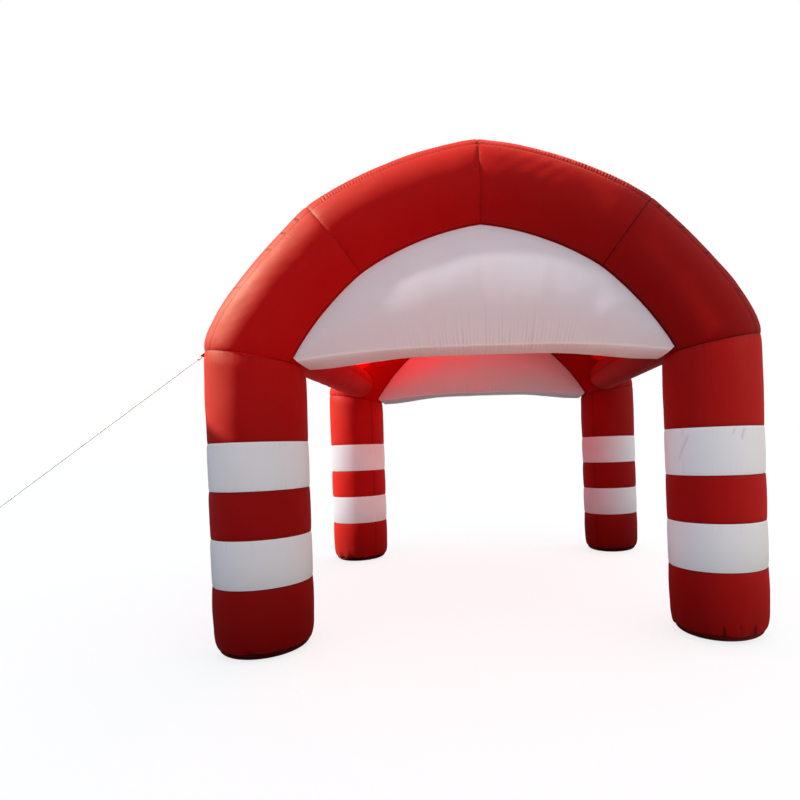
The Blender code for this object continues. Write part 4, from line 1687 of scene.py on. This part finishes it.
@dataclass
class GuyLine:
    """The taut rope at the front left shoulder, with its tab, knots and end loop."""

    form: ArchForm = field(default_factory=ArchForm)
    diameter: float = 0.010
    slope: float = math.radians(34.9)
    length: float = 2.22
    tab_above_seam: float = 0.020
    tab_width: float = 0.050
    tab_length: float = 0.075
    tab_thickness: float = 0.006
    sewn_rows: tuple[float, ...] = (0.30, 0.72)  # where the tab is sewn across, as shares of its length
    knot_length: float = 0.045
    loop_length: float = 0.110
    loop_width: float = 0.060
    gap: float = 0.0003
    strands: int = 3
    twist_pitch: float = 0.042
    knot_width: float = 0.0105
    section_points: int = 16
    rope_points: int = 640
    knot_points: int = 90
    loop_points: int = 72

    def __post_init__(self) -> None:
        """Places everything along the rope's line."""
        haunch = self.form.haunch()
        foot, above = haunch.surface(np.array([0.0, 0.05]), 0.0)
        sewn = foot + (above - foot) * self.tab_above_seam / (above[2] - foot[2])
        self.down = np.array([-math.cos(self.slope), 0, -math.sin(self.slope)])
        self.across = np.array([-self.down[2], 0, self.down[0]])
        edge = np.array([-sewn[0] - self.gap, -SIZES.arch_y, sewn[2]])
        self.root = edge - self.across * self.tab_thickness / 2
        self.head = self.root + self.down * (self.tab_length + self.gap + self.knot_length / 2)
        self.start = self.head + self.down * (self.knot_length / 2 + self.gap)
        end = self.start + self.down * self.length
        self.foot = end + self.down * (self.gap + self.knot_length / 2)
        self.eye = self.foot + self.down * (
            self.knot_length / 2 + self.gap + self.diameter / 2 + self.loop_length / 2
        )

    @staticmethod
    def _carried_sides(line: Array, closed: bool) -> tuple[Array, Array]:
        """Two directions square to a line at each point, carried along it without twist.

        Args:
            line: The points of the line.
            closed: Whether the line joins up with itself.

        Returns:
            The two directions at each point.
        """
        if closed:
            tangent = np.roll(line, -1, axis=0) - np.roll(line, 1, axis=0)
        else:
            tangent = np.gradient(line, axis=0)
        tangent /= np.linalg.norm(tangent, axis=1, keepdims=True)
        side = np.zeros_like(line)
        side[0] = np.cross(tangent[0], [0.0, 1.0, 0.01])
        for k in range(1, len(line)):
            side[k] = side[k - 1] - tangent[k] * (side[k - 1] @ tangent[k])
            side[k] /= np.linalg.norm(side[k])
        side[0] /= np.linalg.norm(side[0])
        return side, np.cross(tangent, side)

    def _strand_tube(self, line: Array, radius: float, twist: float, closed: bool = False) -> Panel:
        """A laid rope along a line: its section is three strands that turn as it runs.

        Args:
            line: The points of its middle.
            radius: Its greatest radius.
            twist: The length of one turn of the strands.
            closed: Whether the line joins up with itself.

        Returns:
            The rope's surface as one panel.
        """
        side, other = self._carried_sides(line, closed)
        run = run_along(line)
        turn_off = math.atan2(side[0] @ other[-1], side[0] @ side[-1]) if closed else 0.0
        phi = np.linspace(0, TAU, self.section_points)[None, :]
        untwist = turn_off * (run / run[-1])[:, None]
        turns = round(run[-1] / twist * self.strands) / self.strands if closed else run[-1] / twist
        lay = phi - TAU * turns * (run / run[-1])[:, None]
        lobes = radius * (0.86 + 0.14 * np.abs(np.cos(lay * self.strands / 2)))
        swing = phi + untwist
        points = (
            line[:, None]
            + lobes[..., None] * np.cos(swing)[..., None] * side[:, None]
            + lobes[..., None] * np.sin(swing)[..., None] * other[:, None]
        )
        inside = np.broadcast_to(line[:, None], points.shape)
        if closed:
            points = np.concatenate((points, points[:1]))
            inside = np.concatenate((inside, inside[:1]))
            run = np.append(run, run[-1])
        cloth = np.stack(np.broadcast_arrays(run[:, None], phi * radius), axis=-1)
        return Panel(points, inside, cloth, [], (), 1, 0.0)

    def _knot_line(self, middle: Array, reach: float, width: float) -> Array:
        """The path of an overhand knot drawn tight about a point on the rope's line.

        Args:
            middle: The point.
            reach: Half the length of the knot.
            width: Half its width.

        Returns:
            The points of the path.
        """
        t = np.linspace(0, TAU, self.knot_points, endpoint=False)
        along = (np.sin(t) + 2 * np.sin(2 * t)) / 3 * reach
        aside = (np.cos(t) - 2 * np.cos(2 * t)) / 3 * width
        depth = -np.sin(3 * t) * width * 0.55
        return (
            middle
            + along[:, None] * self.down
            + aside[:, None] * self.across
            + depth[:, None] * np.array([0.0, 1.0, 0.0])
        )

    def _knot(self, name: str, middle: Array, maker: PieceMaker, finishes: Finishes) -> None:
        """A tight knot in place of its solid.

        Args:
            name: The CAD node that it stands for.
            middle: Its middle.
            maker: Makes the pieces.
            finishes: The materials.
        """
        radius = self.diameter * 0.46
        line = self._knot_line(middle, self.knot_length / 2 - radius, self.knot_width)
        panels = [self._strand_tube(line, radius, self.twist_pitch, closed=True)]
        if middle is self.head:
            core = self.knot_length / 2 - 0.001
            through = middle + self.down * np.linspace(-core, core, 14)[:, None]
            panels.append(self._strand_tube(through, radius, self.twist_pitch))
        maker.from_panels(f"{name}_tied", panels, finishes.rope, name)

    def _tab(self, maker: PieceMaker, finishes: Finishes) -> None:
        """The folded webbing tab, with soft edges and a sewn box.

        Args:
            maker: Makes the pieces.
            finishes: The materials.
        """
        rows, columns = 26, 40
        v = np.linspace(0, 1, rows)[:, None]
        phi = np.linspace(0, TAU, columns)[None, :]
        wide, thick = signed_power(np.sin(phi), 0.25), signed_power(np.cos(phi), 0.25)
        closing = np.minimum(1, np.minimum(v, 1 - v) / 0.04) ** 0.5
        groove = 1.0
        for row in self.sewn_rows:
            groove = groove - 0.10 * np.exp(-(((v - row) / 0.02) ** 2))
        y = self.tab_width / 2 * wide * (0.94 + 0.06 * closing)
        n = self.tab_thickness / 2 * thick * closing * groove
        run = self.tab_length * v
        points = (
            self.root
            + run[..., None] * self.down
            + n[..., None] * self.across
            + np.broadcast_to(y, n.shape)[..., None] * np.array([0.0, 1.0, 0.0])
        )
        inside = np.broadcast_to(self.root + run[..., None] * self.down, points.shape)
        cloth = np.stack(np.broadcast_arrays(y, run), axis=-1)
        panel = Panel(points, inside, cloth, [], (), 1, 0.0)
        maker.from_panels("guy_tab_webbing", [panel], finishes.webbing, "guy_tab")

    def build(self, maker: PieceMaker, finishes: Finishes) -> None:
        """Args:
            maker: Makes the pieces.
            finishes: The materials.
        """
        self._tab(maker, finishes)
        self._knot("guy_rope_head_knot", self.head, maker, finishes)
        self._knot("guy_rope_end_knot", self.foot, maker, finishes)
        t = np.linspace(0, TAU, self.loop_points, endpoint=False)
        ring = (
            self.eye
            + (self.loop_length / 2 * np.cos(t))[:, None] * self.down
            + (self.loop_width / 2 * np.sin(t))[:, None] * self.across
        )
        loop = self._strand_tube(ring, self.diameter / 2, self.twist_pitch, closed=True)
        maker.from_panels("guy_rope_end_loop_laid", [loop], finishes.rope, "guy_rope_end_loop")
        reach = self.length + self.gap + self.knot_length - 0.001
        steps = np.linspace(0, reach, self.rope_points)[:, None]
        line = self.start + self.down * steps
        tube = self._strand_tube(line, self.diameter / 2, self.twist_pitch)
        rope = maker.from_panels("guy_rope_laid", [tube], finishes.rope, "guy_rope")


# ---------------------------------------------------------------- studio


@dataclass
class Viewpoint:
    """The camera: a person's eye height, in front of the canopy and a little left of its middle."""

    place: tuple[float, float, float] = (-0.0751, -6.3786, 1.6005)
    yaw: float = -0.0119
    pitch: float = -0.0051
    roll: float = -0.0335
    focal: float = 542.76  # in pixels of a picture of this size
    picture: float = 800.0
    centre: tuple[float, float] = (485.05, 449.94)
    sensor: float = 36.0

    def build(self) -> None:
        """Makes the camera and gives it to the scene."""
        data = bpy.data.cameras.new("viewpoint")
        data.sensor_width = self.sensor
        data.lens = self.focal * self.sensor / self.picture
        data.shift_x = (self.picture / 2 - self.centre[0]) / self.picture
        data.shift_y = (self.centre[1] - self.picture / 2) / self.picture
        data.clip_end = 200.0
        camera = bpy.data.objects.new("viewpoint", data)
        turn = Matrix.Rotation(self.yaw, 4, "Z") @ Matrix.Rotation(math.pi / 2 + self.pitch, 4, "X")
        camera.matrix_world = Matrix.Translation(self.place) @ turn @ Matrix.Rotation(self.roll, 4, "Z")
        bpy.context.scene.collection.objects.link(camera)
        bpy.context.scene.camera = camera


@dataclass(frozen=True)
class Lamp:
    """A low, distant lamp that lights chosen pieces."""

    name: str
    irradiance: float
    azimuth: float = 0.0  # how far in front of the left it stands, in degrees
    height: float = 34.0
    distance: float = 60.0
    radius: float = 1.5
    colour: Colour = (1.0, 0.94, 0.86)
    aim: tuple[float, float, float] = (-0.3, -2.0, 3.2)
    pool_centre: tuple[float, float, float] = (-0.3, 0.0, 3.2)
    pool_edge: tuple[float, float, float] = (-0.3, 12.0, 3.2)  # a point on the edge of the light

    def build(self, lit: list[bpy.types.Object]) -> None:
        """Makes the lamp and ties it to the pieces that it lights; the floor isn't one.

        Args:
            lit: The pieces that it lights.
        """
        azimuth, height = math.radians(self.azimuth), math.radians(self.height)
        level = math.cos(height)
        towards = Vector((-level * math.cos(azimuth), -level * math.sin(azimuth), math.sin(height)))
        place = Vector(self.aim) + towards * self.distance
        axis = place - Vector(self.pool_centre)
        light = bpy.data.lights.new(self.name, "SPOT")
        light.energy = self.irradiance * 4 * math.pi * self.distance**2
        light.spot_size = 2 * axis.angle(place - Vector(self.pool_edge))
        light.spot_blend = 0.02
        light.shadow_soft_size = self.radius
        light.color = self.colour
        turn = axis.to_track_quat("Z", "Y").to_matrix().to_4x4()
        hang_lamp(self.name, light, Matrix.Translation(place) @ turn, lit)


def hang_lamp(name: str, light: bpy.types.Light, place: Matrix, lit: list[bpy.types.Object]) -> None:
    """Puts a lamp in its place and ties it to the pieces that it lights.

    Args:
        name: The lamp's name.
        light: Its light.
        place: Its place and turn.
        lit: The pieces that it lights.
    """
    lamp = bpy.data.objects.new(name, light)
    lamp.matrix_world = place
    bpy.context.scene.collection.objects.link(lamp)
    receivers = bpy.data.collections.new(f"lit_by_{name}")
    for piece in lit:
        receivers.objects.link(piece)
    lamp.light_linking.receiver_collection = receivers


@dataclass(frozen=True)
class SoftLight:
    """A soft disc of light, as is thrown back or let through by coloured cloth."""

    name: str
    place: tuple[float, float, float]
    size: float
    power: float
    colour: Colour
    lit: tuple[str, ...]  # words in the names of the pieces that it lights
    faces_up: bool = False

    def build(self, pieces: list[bpy.types.Object]) -> None:
        """Makes the light and ties it to the pieces that it lights.

        Args:
            pieces: The pieces of the canopy.
        """
        light = bpy.data.lights.new(self.name, "AREA")
        light.shape = "DISK"
        light.size = self.size
        light.energy = self.power
        light.color = self.colour
        turn = Matrix.Rotation(math.pi if self.faces_up else 0.0, 4, "X")
        lit = [piece for piece in pieces if any(word in piece.name for word in self.lit)]
        hang_lamp(self.name, light, Matrix.Translation(self.place) @ turn, lit)


@dataclass
class Studio:
    """A plain pale floor, an even surround and lamps that each light chosen pieces."""

    floor_size: float = 120.0
    floor_height: float = -0.002
    floor_colour: Colour = (0.27, 0.29, 0.29)
    floor_mottle: float = 0.985  # how bright its darker patches are, as a share of that
    floor_lift: float = 0.78
    floor_bounce: tuple[float, float] = (0.03, 1.0)  # to bouncing light: beside the canopy, where it is painted shade, and far from it
    bounce_reach: tuple[float, float] = (4.5, 9.0)
    bounce_centre: tuple[float, float, float] = (-1.7, -1.7, 0.0)
    backdrop: float = 1.0
    surround_left: Colour = (0.72, 0.88, 1.15)
    surround_right: Colour = (1.15, 1.03, 0.94)
    surround_mean: float = 0.83
    surround_slope: float = 0.34  # how much brighter the right-hand side is
    surround_front: float = 0.12
    reflected: float = 0.25  # the share of the surround and floor that shows in the cloth's gloss
    warm: Colour = (1.0, 0.80, 0.54)  # the sun's colour on red cloth

    def _floor(self) -> None:
        """A large level sheet, just below the ground's height."""
        half, low = self.floor_size / 2, self.floor_height
        mesh = bpy.data.meshes.new("floor")
        corners = [(-half, -half, low), (half, -half, low), (half, half, low), (-half, half, low)]
        mesh.from_pydata(corners, [], [(0, 1, 2, 3)])
        mesh.materials.append(self._floor_finish())
        floor = bpy.data.objects.new("floor", mesh)
        bpy.context.scene.collection.objects.link(floor)

    def _floor_finish(self) -> bpy.types.Material:
        """A painted floor's faint mottle. To bouncing light it is darker beside the canopy: painted shade
        of the canopy on the ground.

        Returns:
            The material.
        """
        material, w, shader = new_material("pale_floor")
        links = material.node_tree.links
        noise = w.node("ShaderNodeTexNoise", {"Scale": 1.4, "Detail": 2.0}).outputs[0]
        darker = tuple(share * self.floor_mottle for share in self.floor_colour)
        tone = w.mix_colour(noise, opaque(self.floor_colour), opaque(darker))
        links.new(tone, shader.inputs["Base Color"])
        shader.inputs["Roughness"].default_value = 0.9
        shader.inputs["Emission Color"].default_value = WHITE
        shader.inputs["Emission Strength"].default_value = self.floor_lift
        place = w.node("ShaderNodeTexCoord").outputs["Object"]
        # painted shade of the canopy on the ground, seen only by bouncing light
        span = {0: place, 1: self.bounce_centre}
        reach = w.node("ShaderNodeVectorMath", span, operation="DISTANCE").outputs["Value"]
        span = {0: reach, 1: self.bounce_reach[0], 2: self.bounce_reach[1]}
        near, far = self.floor_bounce
        bounce = w.node("ShaderNodeMapRange", {**span, 3: near, 4: far}).outputs[0]
        path = w.node("ShaderNodeLightPath")
        bounce = w.math("MULTIPLY", bounce, self._dimmed(w, path))
        grey = w.node("ShaderNodeCombineColor", {0: bounce, 1: bounce, 2: bounce}).outputs[0]
        dull = w.node("ShaderNodeBsdfDiffuse", {"Color": grey})
        seen = path.outputs["Is Camera Ray"]
        mix = w.node("ShaderNodeMixShader", {0: seen, 1: dull.outputs[0], 2: shader.outputs[0]})
        links.new(mix.outputs[0], material.node_tree.nodes["Material Output"].inputs["Surface"])
        return material

    def _dimmed(self, w: NodeWriter, path: bpy.types.Node) -> bpy.types.NodeSocket:
        """A factor of 1, or less where a glossy surface looks at the surround or the floor."""
        return w.math("ADD", w.math("MULTIPLY", path.outputs["Is Glossy Ray"], self.reflected - 1.0), 1.0)

    def _surround(self) -> None:
        """Light from all round, cooler on the left, before a white backdrop."""
        world = bpy.data.worlds.new("surround")
        world.use_nodes = True
        w = NodeWriter(world.node_tree)
        direction = w.node("ShaderNodeTexCoord").outputs["Generated"]
        parts = w.node("ShaderNodeSeparateXYZ", {0: direction})
        rightward = w.math("MULTIPLY", parts.outputs[0], self.surround_slope)
        frontward = w.math("MULTIPLY", parts.outputs[1], -self.surround_front)
        even = w.math("ADD", w.math("ADD", rightward, frontward), self.surround_mean)
        path = w.node("ShaderNodeLightPath")
        strength = w.math("MULTIPLY", even, self._dimmed(w, path))
        share = w.node("ShaderNodeMapRange", {0: parts.outputs[0], 1: -1.0, 2: 1.0}).outputs[0]
        tint = w.mix_colour(share, opaque(self.surround_left), opaque(self.surround_right))
        light = w.node("ShaderNodeBackground", {"Color": tint, "Strength": strength})
        backdrop = w.node("ShaderNodeBackground", {"Color": WHITE, "Strength": self.backdrop})
        seen = path.outputs["Is Camera Ray"]
        mix = w.node("ShaderNodeMixShader", {0: seen, 1: light.outputs[0], 2: backdrop.outputs[0]})
        output = world.node_tree.nodes["World Output"]
        world.node_tree.links.new(mix.outputs[0], output.inputs["Surface"])
        bpy.context.scene.world = world

    @staticmethod
    def _sunlit_as(name: str) -> str:
        """Which of the sun's lamps lights a piece; both front legs stand in shade below.

        Args:
            name: The piece's name.

        Returns:
            The lamp's name, or none.
        """
        if "gable_front_pillow" in name:
            return "kicker"
        if "leg_front" in name:
            return "key_on_leg" if "left_top_panel" in name else "none"
        return "key_on_white" if "white" in name or "gable" in name else "key"

    def _sun(self, pieces: list[bpy.types.Object]) -> None:
        """The sun on the canopy's left, as one lamp for each kind of cloth that it falls on.

        Args:
            pieces: The pieces of the canopy.
        """
        shade_edge = {"pool_centre": (-2.28, -2.10, 3.963), "pool_edge": (-2.28, -2.10, 1.912)}
        for lamp in (
            Lamp("key", 21.0, colour=self.warm),
            Lamp("key_on_white", 5.6),
            Lamp("kicker", 3.6, azimuth=9.0, colour=(1.0, 0.98, 0.96)),
            Lamp("key_on_leg", 20.0, radius=0.05, colour=self.warm, **shade_edge),
        ):
            lamp.build([piece for piece in pieces if self._sunlit_as(piece.name) == lamp.name])

    @staticmethod
    def _open_side(pieces: list[bpy.types.Object]) -> None:
        """The wide, soft light from the front and the right on the front right leg.

        Args:
            pieces: The pieces of the canopy.
        """
        leg = [piece for piece in pieces if "leg_front_right" in piece.name]
        whites = [piece for piece in leg if "white" in piece.name]
        reds = [piece for piece in leg if "white" not in piece.name]
        wide = {"height": 20.0, "radius": 12.0}
        Lamp("fill", 0.8, azimuth=35.0, height=15.0, radius=12.0, colour=(1.0, 0.96, 0.94)).build(leg)
        Lamp("right_on_red", 5.0, azimuth=140.0, colour=(1.0, 0.78, 0.58), **wide).build(reds)
        Lamp("right_on_white", 1.0, azimuth=140.0, colour=(1.0, 0.82, 0.40), **wide).build(whites)

    @staticmethod
    def _soft_lights(pieces: list[bpy.types.Object]) -> None:
        """The light that the coloured cloth throws back or lets through.

        Args:
            pieces: The pieces of the canopy.
        """
        warm_pink, pink, pale = (1.0, 0.45, 0.34), (1.0, 0.72, 0.68), (0.88, 0.98, 0.90)
        for light in (
            SoftLight("under_front_gable", (0.1, -2.9, 0.6), 2.6, 26.0, warm_pink, ("gable_front",), True),
            SoftLight("through_roof", (-0.3, -0.3, 2.75), 1.8, 26.0, pink, ("leg_rear_left",)),
            SoftLight("under_rear_gable", (0.1, 0.3, 0.6), 2.2, 8.0, pale, ("gable_rear",), True),
        ):
            light.build(pieces)

    def build(self, pieces: list[bpy.types.Object]) -> None:
        """Makes the floor, the surround and the lamps.

        Args:
            pieces: The pieces of the canopy.
        """
        bpy.context.scene.view_settings.view_transform = "Standard"
        self._floor()
        self._surround()
        self._sun(pieces)
        self._open_side(pieces)
        self._soft_lights(pieces)


# ---------------------------------------------------------------- assembly


def leg_creases() -> dict[tuple[End, Side], dict[str, tuple[Crease, ...]]]:
    """The folds that show on the legs, given one by one in metres of cloth.

    Returns:
        For each leg, the folds of each of its parts.
    """
    quarter = TAU * SIZES.tube_radius / 4
    return {
        (End.FRONT, Side.RIGHT): {
            "upper_white_band": (
                Crease((0.94 * quarter, 0.345), (0.76 * quarter, 0.113), 0.0014, 0.009),
                Crease((1.50 * quarter, 0.375), (1.47 * quarter, 0.31), 0.0012, 0.010),
                Crease((1.63 * quarter, 0.375), (1.58 * quarter, 0.27), 0.0015, 0.010),
            ),
            "foot_panel": (
                Crease((1.32 * quarter, 0.0), (1.29 * quarter, 0.10), 0.0050, 0.014),
                Crease((1.52 * quarter, 0.0), (1.50 * quarter, 0.13), 0.0055, 0.014),
                Crease((1.75 * quarter, 0.0), (1.71 * quarter, 0.10), 0.0050, 0.014),
            ),
        },
        (End.REAR, Side.LEFT): {
            "foot_panel": (
                Crease((2.95 * quarter, 0.0), (2.97 * quarter, 0.10), 0.006, 0.016),
                Crease((3.15 * quarter, 0.0), (3.12 * quarter, 0.09), 0.006, 0.016),
            ),
        },
    }


DETAIL = {End.FRONT: (1.0, 1.3), End.REAR: (0.6, 0.6)}  # of the arch and its gable, and of the legs


def main() -> None:
    """Builds the canopy and reports each piece."""
    logging.basicConfig(level=logging.INFO, format="%(name)s: %(message)s")
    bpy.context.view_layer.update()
    finishes = Finishes()
    maker = PieceMaker()
    Viewpoint().build()
    GuyLine().build(maker, finishes)
    folds = leg_creases()
    for end in End:
        detail, leg_detail = DETAIL[end]
        for side in Side:
            Leg(end, side, leg_detail, folds.get((end, side), {})).build(maker, finishes)
        Arch(end, detail).build(maker, finishes)
        Gable(end, detail).build(maker, finishes)
    for side in Side:
        SideBeam(side).build(maker, finishes)
    Roof().build(maker, finishes)
    Studio().build(maker.made)
    total = 0
    for piece in maker.made:
        count = 2 * len(piece.data.polygons)
        total += count
        LOG.info("%s: %d triangles", piece.name, count)
    LOG.info("%d pieces, %d triangles", len(maker.made), total)


if __name__ == "__main__":
    main()
